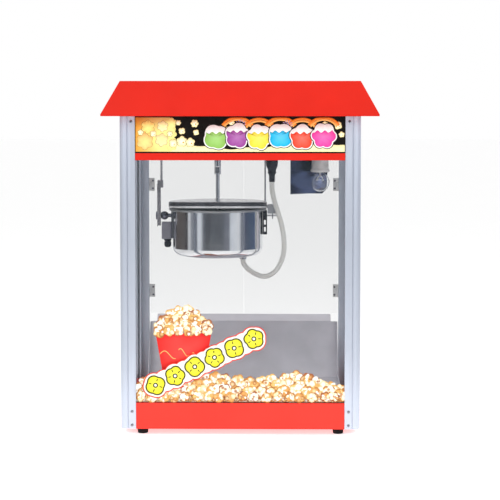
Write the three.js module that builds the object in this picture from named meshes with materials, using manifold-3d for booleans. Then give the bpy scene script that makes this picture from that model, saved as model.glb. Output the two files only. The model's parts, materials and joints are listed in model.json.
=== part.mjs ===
// Counter-top popcorn machine with a hung, tipping kettle in a glass cabinet.
// Millimetres. X to the right, Y to the back, Z up. The origin is on the table, under the middle.
// The customer's glass side faces -Y. The doors and switches are on the +Y side.
import * as THREE from 'three';
import { mergeVertices } from 'three/addons/utils/BufferGeometryUtils.js';
import Module from 'manifold-3d';

const wasm = await Module();
wasm.setup();

// ------------------------------------------------------------------ driving dimensions
const clearance = 0.3; // between pieces that touch
const sheet = 1.5; // steel sheet of walls, tray and panels

// Cabinet
const bodyWidth = 490;
const bodyDepth = 370;
const bodyTop = 651; // top of the posts, where the roof sits
const baseTop = 66; // top edge of the base walls
const headHeight = 89; // from the ceiling plate up to the posts' top
const stripHeight = 14.5; // red strip under the sign
const signThickness = 3;
const glassThickness = 4;
const glassLedgeDrop = 8; // ledge that carries the glass, below the base's top edge
const glassTuck = 8; // how far the glass reaches above the ceiling

// Corner post section
const postSize = 32;
const postArm = 15; // thickness of the two arms
const postBead = 15.2; // round outer corner
const postGroove = 1.8;
const postGrooveDepth = 2.6;
const flangeRecess = 1.2; // flanges sit back from the round corner by this much
const slotStart = 7.7; // glass slot, from the outer face
const slotDepth = 10;

// Feet
const footHeight = 12;
const footRadius = 12;
const footInset = 24; // from the body's front and rear faces

// Roof
const roofOverhangX = 35;
const roofOverhangY = 25;
const roofLip = 4;
const roofRise = 71;
const roofInset = 36; // how far the sloped sides lean in
const roofFlange = 60; // width of the flange that rests on the posts

// Doors
const doorBottom = 204;
const doorTopGap = 12; // below the ceiling
const doorSideGap = 3;
const doorMiddleGap = 2;
const hingeHeight = 29;
const hingeLeaf = 8;
const hingeBarrelRadius = 2.5;
const hingePinRadius = 1;
const hingeBottomZ = 254;
const hingeTopZ = 494;
const knobRadius = 10;
const knobLength = 19;
const knobZ = 380;
const knobFromEdge = 18;

// Kettle, measured from its tilt axis
const kettleX = -52;
const tiltDrop = 125; // tilt axis below the ceiling
const kettleRadius = 96;
const kettleBottom = -85;
const kettleCorner = 18;
const panGap = 6.5; // air between shell and pan
const panWall = 3;
const panBottomGap = 20; // above the shell's bottom
const panCorner = 12;
const rimBottom = 12;
const rimTop = 16.5;
const rimOverhang = 8; // beyond the shell
const elementRadius = 60;
const elementSection = 4;
const glandOffset = 54; // where the lead enters, right of the kettle's middle
const glandRadius = 7.5;
const glandLength = 8;

// Lid, cut into a fixed strap and two flaps
const lidTop = 30;
const lidOverhang = 9; // beyond the shell
const lidPlate = 2;
const strapHalfWidth = 12.2;
const lidBarrelRadius = 1.5;
const flapLifts = { front: 3.5, rear: 0 }; // degrees each flap stands open at rest

// Agitator and drive
const shaftRadius = 4.3;
const shaftHoleGap = 1.2;
const shaftTop = 92;
const tangHeight = 12;
const tangHalfWidth = 9;
const bladeEndGap = 11; // from the blades' ends to the pan's wall
const bladeWidth = 8;
const bladeHeight = 6;
const forkRadius = 7.15;
const forkBottom = 88;
const forkSlotGap = 0.4;
const forkSlotTop = 105;
const motorShaftRadius = 4.7;
const gearboxSize = [68, 56, 28];
const motorRadius = 26;
const motorHeight = 44;

// Left hanger and pivot, measured from the kettle's left side
const pivotPlate = [2.6, 24]; // thickness, width
const pivotPlateBottom = -49;
const hubRadius = 9.25;
const hubOut = 18; // hub's middle
const pivotNeckRadius = 4;
const pivotShaftRadius = 5.7;
const pivotHead = [2.7, 8.5]; // length, radius
const hangerWebOut = 31; // inner face of the left hanger's web
const hangerWeb = 2;
const hangerWebHalf = 11;
const hangerFlange = 6;
const hangerPlateTop = 68;
const hangerPlateBottom = -23;
const hangerBottomSlant = 8;
const rodOut = 24.2;
const rodRadius = 2.4;
const clampSize = [12, 16, 16];

// Tilt handle
const handleSize = [20.6, 18, 36.6];
const handleTop = -13.6;
const handleKnobRadius = 8;
const handleKnobLength = 17.5;

// Right bracket, pivot pin and hanger, measured from the kettle's right side
const bracketThickness = 9.2;
const bracketHalfWidth = 9;
const bracketBottom = -40;
const bracketTop = 11.4;
const bracketWindow = [4, 11];
const pinRadius = 2;
const pinLength = 22.5;
const pinCollar = [2, 3.6]; // length, radius
const blockOut = 10.6; // inner face of the grey block
const blockSize = [17.5, 16, 19.4];
const blockBottom = 4.6;
const eyeOut = 20;
const eyeThickness = 2.5;
const eyeHalfWidth = 7;
const eyeBottom = -7;
const thinRodRadius = 1.75;
const thinRodOut = 5;
const thinRodBack = 53;
const armSection = [4, 6];
const armBottom = 13;

// Kettle lead: hand-picked points of its middle line, from the plug down to the kettle
const leadRadius = 5.25;
const leadSides = 10;
const leadSteps = 26;
const leadPoints = [
  [64, -25, 509.2],
  [64.1, -25, 498],
  [66, -25, 484],
  [70, -25, 467],
  [76, -24, 448],
  [81.5, -22, 430],
  [86.5, -20, 409],
  [89.5, -18, 388],
  [90, -16, 368],
  [86.5, -13.5, 347],
  [78, -10.5, 327.5],
  [65, -7, 313],
  [48, -3.5, 306.5],
  [30, -1, 311],
  [14, 0, 321],
  [5, 0, 331],
  [2.2, 0, 337.5],
  [2, 0, 343.3],
];
const plugX = 64;
const plugY = -25;
const plugRadius = 12.75;
const plugDrop = 52.3; // from the ceiling down to the end of its strain relief
const plugNoseRadius = 11;
const plugNoseLength = 24;
const socketWall = 7.5;

// Lamp
const lampFromSide = 76; // from the cabinet's right side to the lamp's middle
const lampY = 100;
const lampSocketTopRadius = 18;
const lampSocketRadius = 20.8;
const lampSocketLength = 36.5;
const bulbRadius = 21;
const bulbNeckRadius = 8.5;
const bulbNeckLength = 20;
const guardThickness = 1.2;
const guardDrop = 85; // below the ceiling
const guardBack = 26; // behind the lamp's middle
const guardRight = 17; // right edge, from the lamp's middle
const guardBend = 25; // bend, left of the lamp's middle
const guardLeft = 64;
const guardForward = 30; // how far the angled wing comes to the front
const guardChamfer = 8;

// Tray
const trayGap = 2; // between the tray and the posts
const trayRail = 8; // side rail along the floor
const trayRampStart = 59; // floor's rear end, from the body's rear face
const trayCreases = [[35, 28.8], [13, 88.5], [3, 118.7]]; // from the rear face, above the floor
const trayLip = [15, 133.3]; // behind the rear face, above the floor
const trayLipInset = 15;
const trayRailEnd = 95; // where the rail starts to climb, from the rear face

// Switches and cord gland on the rear panel
const rockerSize = [12, 21];
const rockerSwing = 16 * Math.PI / 180;
const rockerGap = 0.6;
const rockerNames = ['rocker_heat', 'rocker_motor', 'rocker_lamp'];
const rockerFirstX = 60;
const rockerPitch = 35;
const rockerZ = 45; // above the ceiling
const cordGlandX = -185;
const cordGlandRadius = 11;
const cordGlandNeck = 7.4;
const cordGlandBore = 4;
const cordGlandLength = 9;

// ------------------------------------------------------------------ sizes that follow
const halfWidth = bodyWidth / 2;
const halfDepth = bodyDepth / 2;
const panelHalfX = halfWidth - postSize - clearance;
const panelHalfY = halfDepth - postSize - clearance;
const slotEnd = slotStart + glassThickness + 2 * clearance;
const ceilingZ = bodyTop - headHeight;
const ledgeTop = baseTop - glassLedgeDrop + sheet;
const tiltZ = ceilingZ - tiltDrop;
const stripBottom = ceilingZ - clearance;
const signBottom = stripBottom + stripHeight;
const rearFace = halfDepth - flangeRecess;
const hingeX = halfWidth - postSize - 1.5;
const hingeY = rearFace + clearance + hingeBarrelRadius;
const lampX = halfWidth - lampFromSide;
const forkSlotHalf = shaftRadius + forkSlotGap;

// ------------------------------------------------------------------ materials
function finish(color, roughness, metalness, opacity = 1) {
  const transparent = opacity < 1;
  return new THREE.MeshStandardMaterial({ color, roughness, metalness, opacity, transparent });
}

const redPaint = finish(0xf0352a, 0.35, 0);
const aluminium = finish(0xc9d0d8, 0.35, 0.9);
const stainless = finish(0xb9bcc2, 0.25, 1);
const darkSteel = finish(0x4a4d57, 0.3, 1);
const castAluminium = finish(0x9a9ca0, 0.5, 0.9);
const clearGlass = finish(0xeaf2f4, 0.05, 0, 0.25);
const signPrint = finish(0x2a2118, 0.4, 0);
const blackRubber = finish(0x17161a, 0.7, 0);
const blackPlastic = finish(0x1d1b26, 0.45, 0);
const greyPlastic = finish(0x77757f, 0.5, 0);
const ceramic = finish(0xd9d6d2, 0.4, 0);
const braid = finish(0xc9c8c6, 0.8, 0);

// ------------------------------------------------------------------ shape helpers
function facingOut(geometry) {
  const position = geometry.getAttribute('position');
  const index = geometry.getIndex();
  const [a, b, c] = [new THREE.Vector3(), new THREE.Vector3(), new THREE.Vector3()];
  let volume = 0;
  for (let i = 0; i < index.count; i += 3) {
    a.fromBufferAttribute(position, index.getX(i));
    b.fromBufferAttribute(position, index.getX(i + 1));
    c.fromBufferAttribute(position, index.getX(i + 2));
    volume += a.dot(b.cross(c));
  }
  if (volume < 0) {
    for (let i = 0; i < index.count; i += 3) {
      const second = index.getX(i + 1);
      index.setX(i + 1, index.getX(i + 2));
      index.setX(i + 2, second);
    }
  }
  return geometry;
}

function welded(geometry) {
  geometry.deleteAttribute('normal');
  geometry.deleteAttribute('uv');
  return facingOut(mergeVertices(geometry, 1e-4));
}

function toSolid(geometry) {
  const mesh = welded(geometry.clone());
  return new wasm.Manifold(new wasm.Mesh({
    numProp: 3,
    vertProperties: new Float32Array(mesh.getAttribute('position').array),
    triVerts: new Uint32Array(mesh.getIndex().array),
  }));
}

function fromSolid(solid) {
  const mesh = solid.getMesh();
  const geometry = new THREE.BufferGeometry();
  geometry.setAttribute('position', new THREE.BufferAttribute(mesh.vertProperties, 3));
  geometry.setIndex(new THREE.BufferAttribute(mesh.triVerts, 1));
  return geometry;
}

function join(...geometries) {
  return fromSolid(geometries.map(toSolid).reduce((sum, next) => sum.add(next)));
}

function cut(geometry, ...tools) {
  return fromSolid(tools.map(toSolid).reduce((rest, tool) => rest.subtract(tool), toSolid(geometry)));
}

function common(geometry, tool) {
  return fromSolid(toSolid(geometry).intersect(toSolid(tool)));
}

// Box between two values on each axis.
function box([x0, x1], [y0, y1], [z0, z1]) {
  const geometry = new THREE.BoxGeometry(Math.abs(x1 - x0), Math.abs(y1 - y0), Math.abs(z1 - z0));
  return geometry.translate((x0 + x1) / 2, (y0 + y1) / 2, (z0 + z1) / 2);
}

// Outline in X and Y, raised along Z.
function raised(points, [z0, z1]) {
  const shape = new THREE.Shape(points.map(([x, y]) => new THREE.Vector2(x, y)));
  const geometry = new THREE.ExtrudeGeometry(shape, { depth: z1 - z0, bevelEnabled: false });
  return geometry.translate(0, 0, z0);
}

// Outline in Y and Z, drawn out along X.
function drawnX(points, [x0, x1]) {
  const geometry = raised(points, [0, x1 - x0]);
  const turn = new THREE.Matrix4().makeBasis(
    new THREE.Vector3(0, 1, 0),
    new THREE.Vector3(0, 0, 1),
    new THREE.Vector3(1, 0, 0),
  );
  return geometry.applyMatrix4(turn).translate(x0, 0, 0);
}

// Profile of radius and height, turned about Z.
function turned(profile, segments = 32) {
  const points = profile.map(([r, z]) => new THREE.Vector2(r, z));
  return new THREE.LatheGeometry(points, segments).rotateX(Math.PI / 2);
}

function cylinder(radius, [z0, z1], segments = 24) {
  return turned([[0, z0], [radius, z0], [radius, z1], [0, z1]], segments);
}

// The same, with its axis along X or along Y.
function alongX(geometry) {
  return geometry.rotateY(Math.PI / 2);
}

function alongY(geometry) {
  return geometry.rotateX(-Math.PI / 2);
}

// Points of an arc, angles in degrees.
function arc(centreX, centreY, radius, from, to, steps) {
  return Array.from({ length: steps + 1 }, (_, i) => {
    const angle = THREE.MathUtils.degToRad(from + (to - from) * i / steps);
    return [centreX + radius * Math.cos(angle), centreY + radius * Math.sin(angle)];
  });
}

const machine = new THREE.Group();

function add(name, geometry, material, parent = machine, [x, y, z] = [0, 0, 0]) {
  const mesh = new THREE.Mesh(welded(geometry), material);
  mesh.name = name;
  mesh.position.set(x, y, z);
  parent.add(mesh);
  return mesh;
}

function groupAt(x, y, z) {
  const group = new THREE.Group();
  group.position.set(x, y, z);
  machine.add(group);
  return group;
}

const sides = [['left', -1], ['right', 1]];
const ends = [['front', -1], ['rear', 1]];

// ------------------------------------------------------------------ base and feet
function addBase() {
  const wallX = halfWidth - flangeRecess;
  const frontEdge = -(rearFace - sheet - clearance);
  const floorZ = [footHeight, footHeight + sheet];
  const wallZ = [footHeight, baseTop];
  const ledgeZ = [ledgeTop - sheet, ledgeTop];
  const corners = sides.flatMap(([, sx]) => ends.map(([, sy]) => box(
    [sx * (halfWidth - postSize - clearance), sx * halfWidth],
    [sy * (halfDepth - postSize - clearance), sy * halfDepth],
    [0, bodyTop],
  )));
  const floor = cut(box([-wallX, wallX], [frontEdge, rearFace], floorZ), ...corners);
  const rearWall = box([-panelHalfX, panelHalfX], [rearFace - sheet, rearFace], wallZ);
  const sideWalls = sides.flatMap(([, sx]) => [
    box([sx * (wallX - sheet), sx * wallX], [-panelHalfY, panelHalfY], wallZ),
    box([sx * (halfWidth - postArm), sx * (wallX - sheet / 2)], [-panelHalfY, panelHalfY], ledgeZ),
  ]);
  add('base_pan', join(floor, rearWall, ...sideWalls), redPaint);

  const panel = box([-panelHalfX, panelHalfX], [-rearFace, -rearFace + sheet], wallZ);
  const ledgeY = [-rearFace + sheet / 2, -halfDepth + postArm];
  const ledge = box([-panelHalfX, panelHalfX], ledgeY, ledgeZ);
  add('base_front_panel', join(panel, ledge), redPaint);
}

function addFeet() {
  const top = footHeight - clearance;
  const profile = [
    [0, 0],
    [footRadius - 2.4, 0],
    [footRadius - 1.2, 0.9],
    [footRadius - 0.6, 2.6],
    [footRadius, top],
    [0, top],
  ];
  const footX = panelHalfX - footRadius;
  for (const [sideName, sx] of sides) {
    for (const [endName, sy] of ends) {
      const place = [sx * footX, sy * (halfDepth - footInset), 0];
      add(`foot_${endName}_${sideName}`, turned(profile, 24), blackRubber, machine, place);
    }
  }
}

// ------------------------------------------------------------------ posts and glass
function postOutline(sx, sy) {
  const grooveEnd = postBead + postGroove;
  const slotInner = postSize - slotDepth;
  const half = [
    [postBead, postGrooveDepth],
    [grooveEnd, postGrooveDepth],
    [grooveEnd, flangeRecess],
    [postSize, flangeRecess],
    [postSize, slotStart],
    [slotInner, slotStart],
    [slotInner, slotEnd],
    [postSize, slotEnd],
    [postSize, postArm],
  ];
  const otherHalf = half.map(([u, v]) => [v, u]).reverse();
  const bead = arc(postBead, postBead, postBead, 180, 270, 6);
  const outline = [...half, [postArm, postArm], ...otherHalf, ...bead];
  return outline.map(([u, v]) => [sx * (halfWidth - u), sy * (halfDepth - v)]);
}

function addPosts() {
  for (const [sideName, sx] of sides) {
    for (const [endName, sy] of ends) {
      const post = raised(postOutline(sx, sy), [footHeight, bodyTop - clearance]);
      add(`post_${endName}_${sideName}`, post, aluminium);
    }
  }
}

function addGlass() {
  const inner = slotStart + clearance;
  const outer = inner + glassThickness;
  const tuck = slotDepth - 1;
  const glassX = halfWidth - postSize + tuck;
  const glassY = halfDepth - postSize + tuck;
  const glassZ = [ledgeTop + clearance, ceilingZ + glassTuck];
  add('front_glass', box([-glassX, glassX], [-halfDepth + inner, -halfDepth + outer], glassZ), clearGlass);
  for (const [sideName, sx] of sides) {
    const paneX = [sx * (halfWidth - outer), sx * (halfWidth - inner)];
    add(`${sideName}_glass`, box(paneX, [-glassY, glassY], glassZ), clearGlass);
  }
}

// ------------------------------------------------------------------ head of the cabinet
function addFascia() {
  const top = bodyTop - clearance;
  const panelX = [-panelHalfX, panelHalfX];
  const strip = box(panelX, [-rearFace, -rearFace + sheet], [stripBottom, signBottom]);
  const shelfY = [-rearFace + sheet / 2, -halfDepth + slotStart - 1];
  const shelf = box(panelX, shelfY, [signBottom - sheet, signBottom]);
  add('fascia_front', join(strip, shelf), redPaint);

  const signY = [-rearFace, -rearFace + signThickness];
  add('sign_panel', box(panelX, signY, [signBottom + clearance, top]), signPrint);

  const faceX = halfWidth - flangeRecess;
  const panelY = [-panelHalfY, panelHalfY];
  for (const [sideName, sx] of sides) {
    const face = box([sx * (faceX - sheet), sx * faceX], panelY, [stripBottom, top]);
    const hemX = [sx * (halfWidth - slotStart + 1), sx * (faceX - sheet / 2)];
    const hem = box(hemX, panelY, [stripBottom, stripBottom + sheet]);
    add(`fascia_${sideName}`, join(face, hem), redPaint);
  }
}

function addCeiling() {
  const x = halfWidth - postArm - clearance;
  const y = halfDepth - postArm - clearance;
  const plate = box([-x, x], [-y, y], [ceilingZ, ceilingZ + sheet]);
  const through = [ceilingZ - 5, ceilingZ + 5];
  const driveHole = cylinder(forkRadius + 2, through).translate(kettleX, 0, 0);
  const plugHole = cylinder(plugNoseRadius + 2 * clearance, through).translate(plugX, plugY, 0);
  add('ceiling_plate', cut(plate, driveHole, plugHole), stainless);
}

// Box with its top face smaller than its bottom face.
function frustum(bottomX, bottomY, topX, topY, [z0, z1]) {
  const geometry = box([-bottomX, bottomX], [-bottomY, bottomY], [z0, z1]);
  const position = geometry.getAttribute('position');
  for (let i = 0; i < position.count; i += 1) {
    if (position.getZ(i) > z0) {
      position.setX(i, Math.sign(position.getX(i)) * topX);
      position.setY(i, Math.sign(position.getY(i)) * topY);
    }
  }
  return geometry;
}

function addRoof() {
  const x = halfWidth + roofOverhangX;
  const y = halfDepth + roofOverhangY;
  const lipTop = bodyTop + roofLip;
  const top = bodyTop + roofRise;
  const skin = join(
    box([-x, x], [-y, y], [bodyTop, lipTop]),
    frustum(x, y, x - roofInset, y - roofInset, [lipTop, top]),
  );
  const inX = x - sheet;
  const inY = y - sheet;
  const hollow = join(
    box([-inX, inX], [-inY, inY], [bodyTop + sheet, lipTop]),
    frustum(inX, inY, inX - roofInset, inY - roofInset, [lipTop, top - sheet]),
  );
  const mouthX = x - roofFlange;
  const mouthY = y - roofFlange;
  const mouth = box([-mouthX, mouthX], [-mouthY, mouthY], [bodyTop - 1, bodyTop + 2 * sheet]);
  add('roof_cover', cut(skin, hollow, mouth), redPaint);
}

// ------------------------------------------------------------------ rear panel
function rockerCentres() {
  return rockerNames.map((name, i) => [name, rockerFirstX + i * rockerPitch]);
}

function addControlPanel() {
  const bottom = ceilingZ - doorTopGap + 2;
  const panel = box([-panelHalfX, panelHalfX], [rearFace - sheet, rearFace], [bottom, bodyTop - clearance]);
  const hem = box([-panelHalfX, panelHalfX], [rearFace - 8, rearFace - sheet / 2], [bottom, bottom + sheet]);
  const [width, height] = rockerSize;
  const through = [rearFace - 5, rearFace + 5];
  const centreZ = ceilingZ + rockerZ;
  const windows = rockerCentres().map(([, x]) => box(
    [x - width / 2 - rockerGap, x + width / 2 + rockerGap],
    through,
    [centreZ - height / 2 - 2 * rockerGap, centreZ + height / 2 + 2 * rockerGap],
  ));
  const glandHole = alongY(cylinder(cordGlandNeck + clearance, [-10, 10]));
  glandHole.translate(cordGlandX, rearFace, centreZ);
  add('control_panel', cut(join(panel, hem), ...windows, glandHole), redPaint);
}

// A rocker button turns about a line along X. At rest its lower half is pressed in.
function addRockers() {
  const [width, height] = rockerSize;
  const half = height / 2;
  const outline = [[-6, -5], [-6, 5], [-0.5, half], [3.1, half], [1.9, 0], [3.1, -half], [-0.5, -half]];
  for (const [name, x] of rockerCentres()) {
    const button = drawnX(outline, [-width / 2, width / 2]).rotateX(-rockerSwing / 2);
    add(name, button, blackPlastic, machine, [x, rearFace - 1, ceilingZ + rockerZ]);
  }
}

function addCordGland() {
  const flangeStart = clearance;
  const profile = [
    [cordGlandBore, -7],
    [cordGlandNeck, -7],
    [cordGlandNeck, flangeStart],
    [cordGlandRadius, flangeStart],
    [cordGlandRadius, flangeStart + 4],
    [cordGlandNeck, flangeStart + cordGlandLength],
    [cordGlandBore, flangeStart + cordGlandLength],
    [cordGlandBore, -7],
  ];
  const place = [cordGlandX, rearFace, ceilingZ + rockerZ];
  add('cord_gland', alongY(turned(profile, 24)), blackPlastic, machine, place);
}

// ------------------------------------------------------------------ doors
// One leaf of a hinge, about a pin on Z at the origin. reach is +1 or -1, the way the leaf goes.
function hingePlate(reach, knuckles) {
  const plateY = [-hingeBarrelRadius, -hingeBarrelRadius + sheet];
  const plateStart = hingeBarrelRadius + clearance;
  const half = hingeHeight / 2;
  const plate = box([reach * plateStart, reach * (plateStart + hingeLeaf)], plateY, [-half, half]);
  const rolls = knuckles.flatMap((range) => [
    cylinder(hingeBarrelRadius, range, 16),
    box([0, reach * (plateStart + 1)], plateY, range),
  ]);
  return join(plate, ...rolls);
}

function addHinge(sideName, sx, levelName, z, doorGroup) {
  const third = hingeHeight / 6;
  const half = hingeHeight / 2;
  const pin = cylinder(hingePinRadius, [-half, half], 12);
  const outerKnuckles = [[-half, -third - clearance], [third + clearance, half]];
  const postLeaf = join(hingePlate(sx, outerKnuckles), pin);
  add(`hinge_${levelName}_${sideName}_post_leaf`, postLeaf, stainless, machine, [sx * hingeX, hingeY, z]);
  const bore = cylinder(hingePinRadius + clearance, [-half, half], 12);
  const doorLeaf = cut(hingePlate(-sx, [[-third, third]]), bore);
  add(`hinge_${levelName}_${sideName}_door_leaf`, doorLeaf, stainless, doorGroup, [0, 0, z]);
}

// Each door is drawn from its hinge pin, which is its group's origin.
function addDoors() {
  const outerEdge = hingeX - (halfWidth - postSize - doorSideGap);
  const innerEdge = hingeX - doorMiddleGap / 2;
  const paneBack = rearFace - hingeY;
  for (const [sideName, sx] of sides) {
    const door = groupAt(sx * hingeX, hingeY, 0);
    const pane = box(
      [-sx * outerEdge, -sx * innerEdge],
      [paneBack - glassThickness, paneBack],
      [doorBottom, ceilingZ - doorTopGap],
    );
    add(`door_${sideName}`, pane, clearGlass, door);
    addHinge(sideName, sx, 'lower', hingeBottomZ, door);
    addHinge(sideName, sx, 'upper', hingeTopZ, door);

    const knob = alongY(turned([
      [0, 0],
      [knobRadius * 0.55, 0],
      [knobRadius * 0.5, knobLength * 0.4],
      [knobRadius, knobLength * 0.55],
      [knobRadius, knobLength * 0.85],
      [knobRadius * 0.8, knobLength],
      [0, knobLength],
    ], 24));
    const knobPlace = [-sx * (innerEdge - knobFromEdge), paneBack + clearance, knobZ];
    add(`door_knob_${sideName}`, knob, blackPlastic, door, knobPlace);
  }
}

// ------------------------------------------------------------------ kettle
const panOuter = kettleRadius - sheet - panGap;
const panInner = panOuter - panWall;
const panFloor = kettleBottom + panBottomGap + panWall;
const rimRadius = kettleRadius + rimOverhang;
const lidRadius = kettleRadius + lidOverhang;

function addKettlePot(kettle) {
  const inner = kettleRadius - sheet;
  const cornerZ = kettleBottom + kettleCorner;
  const cornerR = kettleRadius - kettleCorner;
  const top = rimBottom - clearance;
  const shell = turned([
    [0, kettleBottom],
    ...arc(cornerR, cornerZ, kettleCorner, -90, 0, 5),
    [kettleRadius, top],
    [inner, top],
    ...arc(cornerR, cornerZ, kettleCorner - sheet, 0, -90, 5),
    [0, kettleBottom + sheet],
  ], 48);
  const gland = cylinder(glandRadius, [kettleBottom - glandLength, kettleBottom + sheet / 2]);
  add('kettle_shell', join(shell, gland.translate(glandOffset, 0, 0)), stainless, kettle);

  const panZ = panFloor - panWall + panCorner;
  const panR = panOuter - panCorner;
  const pan = turned([
    [0, panFloor - panWall],
    ...arc(panR, panZ, panCorner, -90, 0, 4),
    [panOuter, rimBottom],
    [rimRadius, rimBottom],
    [rimRadius, rimTop],
    [panInner, rimTop],
    ...arc(panR, panZ, panCorner - panWall, 0, -90, 4),
    [0, panFloor],
  ], 48);
  add('kettle_pan', pan, castAluminium, kettle);

  const ring = new THREE.TorusGeometry(elementRadius, elementSection, 8, 32);
  const ringZ = panFloor - panWall - clearance - elementSection;
  add('heating_element', ring, darkSteel, kettle, [0, 0, ringZ]);
}

function lidCap() {
  const inner = lidRadius - sheet;
  const bottom = rimTop + clearance;
  return turned([
    [0, lidTop - lidPlate],
    [inner, lidTop - lidPlate],
    [inner, bottom],
    [lidRadius, bottom],
    [lidRadius, lidTop - 1],
    [lidRadius - 1, lidTop],
    [0, lidTop],
  ], 48);
}

// The lid is a shallow cap in three slices: a fixed strap and a flap on each side of it.
function addLid(kettle) {
  const reach = lidRadius + 5;
  const allZ = [0, lidTop + 5];
  const slice = common(lidCap(), box([-reach, reach], [-strapHalfWidth, strapHalfWidth], allZ));
  const shaftHole = cylinder(shaftRadius + shaftHoleGap, allZ);
  add('lid_strap', cut(slice, shaftHole), stainless, kettle);

  const hingeLine = strapHalfWidth + clearance + lidBarrelRadius;
  const barrelHalf = Math.sqrt(lidRadius ** 2 - hingeLine ** 2) - 2 * sheet;
  for (const [endName, sy] of ends) {
    const half = common(lidCap(), box([-reach, reach], [sy * hingeLine, sy * reach], allZ));
    const barrelZ = lidTop - lidBarrelRadius;
    const flap = half.translate(0, -sy * hingeLine, -barrelZ);
    flap.rotateX(sy * THREE.MathUtils.degToRad(flapLifts[endName]));
    const barrel = alongX(cylinder(lidBarrelRadius, [-barrelHalf, barrelHalf], 12));
    add(`lid_${endName}`, join(flap, barrel), stainless, kettle, [0, sy * hingeLine, barrelZ]);
  }
}

function addAgitator(kettle) {
  const bottom = panFloor + clearance;
  const bladeZ = [bottom, bottom + bladeHeight];
  const bladeLength = panInner - bladeEndGap;
  const halfBlade = bladeWidth / 2;
  const agitator = join(
    cylinder(shaftRadius, [bottom, shaftTop]),
    box([-shaftRadius, shaftRadius], [-tangHalfWidth, tangHalfWidth], [shaftTop - 1, shaftTop + tangHeight]),
    box([-bladeLength, bladeLength], [-halfBlade, halfBlade], bladeZ),
    box([-halfBlade, halfBlade], [-bladeLength, bladeLength], bladeZ),
  );
  add('agitator', agitator, stainless, kettle);
}

function addLeftPivot(kettle) {
  const side = -kettleRadius;
  const [plateThickness, plateWidth] = pivotPlate;
  const [headLength, headRadius] = pivotHead;
  const plateX = [side - clearance - plateThickness, side - clearance];
  const webOuter = side - hangerWebOut - hangerWeb;
  const hub = new THREE.SphereGeometry(hubRadius, 20, 12).translate(side - hubOut, 0, 0);
  const headX = [webOuter - clearance - headLength, webOuter - clearance];
  const pivot = join(
    box(plateX, [-plateWidth / 2, plateWidth / 2], [pivotPlateBottom, rimBottom - 2 * clearance]),
    alongX(cylinder(pivotNeckRadius, [side - hubOut, plateX[1] - plateThickness / 2])),
    hub,
    alongX(cylinder(pivotShaftRadius, [headX[0], side - hubOut])),
    alongX(cylinder(headRadius, headX)),
  );
  add('left_pivot', pivot, darkSteel, kettle);

  const [handleX, handleY, handleZ] = handleSize;
  const gripX = [plateX[0] - clearance - handleX, plateX[0] - clearance];
  const gripZ = [handleTop - handleZ, handleTop];
  add('tilt_handle', box(gripX, [-handleY / 2, handleY / 2], gripZ), greyPlastic, kettle);

  const knob = turned([
    [0, -handleKnobLength],
    [handleKnobRadius * 0.6, -handleKnobLength],
    [handleKnobRadius * 0.95, -handleKnobLength * 0.8],
    [handleKnobRadius, 0],
    [0, 0],
  ], 24);
  const knobX = gripX[1] - handleKnobRadius;
  add('handle_knob', knob, blackPlastic, kettle, [knobX, 0, gripZ[0] - clearance]);
}

function addRightPivot(kettle) {
  const side = kettleRadius;
  const inner = side + clearance;
  const outer = inner + bracketThickness;
  const [windowX, windowZ] = bracketWindow;
  const middleX = (inner + outer) / 2;
  const slab = box([inner, outer], [-bracketHalfWidth, bracketHalfWidth], [bracketBottom, bracketTop]);
  const windows = [0, 1].map((i) => {
    const z = bracketBottom + 5 + i * (windowZ + 4);
    const windowY = [-bracketHalfWidth - 1, bracketHalfWidth + 1];
    return box([middleX - windowX / 2, middleX + windowX / 2], windowY, [z, z + windowZ]);
  });
  add('right_bracket', cut(slab, ...windows), blackPlastic, kettle);

  const [collarLength, collarRadius] = pinCollar;
  const pinStart = outer + clearance;
  const pinEnd = pinStart + pinLength;
  const pin = join(
    alongX(cylinder(pinRadius, [pinStart, pinEnd], 16)),
    alongX(cylinder(collarRadius, [pinEnd - collarLength, pinEnd], 16)),
  );
  add('right_pivot', pin, stainless, kettle);
}

// ------------------------------------------------------------------ hangers
function addLeftHanger() {
  const hanger = groupAt(kettleX - kettleRadius, 0, tiltZ);
  const webX = [-hangerWebOut - hangerWeb, -hangerWebOut];
  const slanted = [
    [-hangerWebHalf, hangerPlateTop],
    [hangerWebHalf, hangerPlateTop],
    [hangerWebHalf, hangerPlateBottom + hangerBottomSlant],
    [-hangerWebHalf, hangerPlateBottom],
  ];
  const [clampX, clampY, clampZ] = clampSize;
  const clampTop = hangerPlateTop + clampZ / 2;
  const rodHole = cylinder(rodRadius + clearance, [hangerPlateTop, clampTop + 1], 16);
  const flangeX = [-hangerWebOut - hangerWeb / 2, -hangerWebOut + hangerFlange];
  const flangeZ = [hangerPlateBottom + 2, hangerPlateTop];
  const plate = join(
    drawnX(slanted, webX),
    box(flangeX, [-hangerWebHalf, -hangerWebHalf + hangerWeb], flangeZ),
    box(
      [-rodOut - clampX / 2 - 2, -rodOut + clampX / 2 - 2],
      [-hangerWebHalf, -hangerWebHalf + clampY],
      [clampTop - clampZ, clampTop],
    ),
  );
  const bearing = alongX(cylinder(pivotShaftRadius + clearance, [webX[0] - 1, webX[1] + 1]));
  const holes = [rodHole.translate(-rodOut, 0, 0), bearing];
  add('hanger_plate_left', cut(plate, ...holes), stainless, hanger);

  const rod = cylinder(rodRadius, [hangerPlateTop + clearance, tiltDrop - clearance], 16);
  add('hanger_rod_left', rod, stainless, hanger, [-rodOut, 0, 0]);
}

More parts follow.
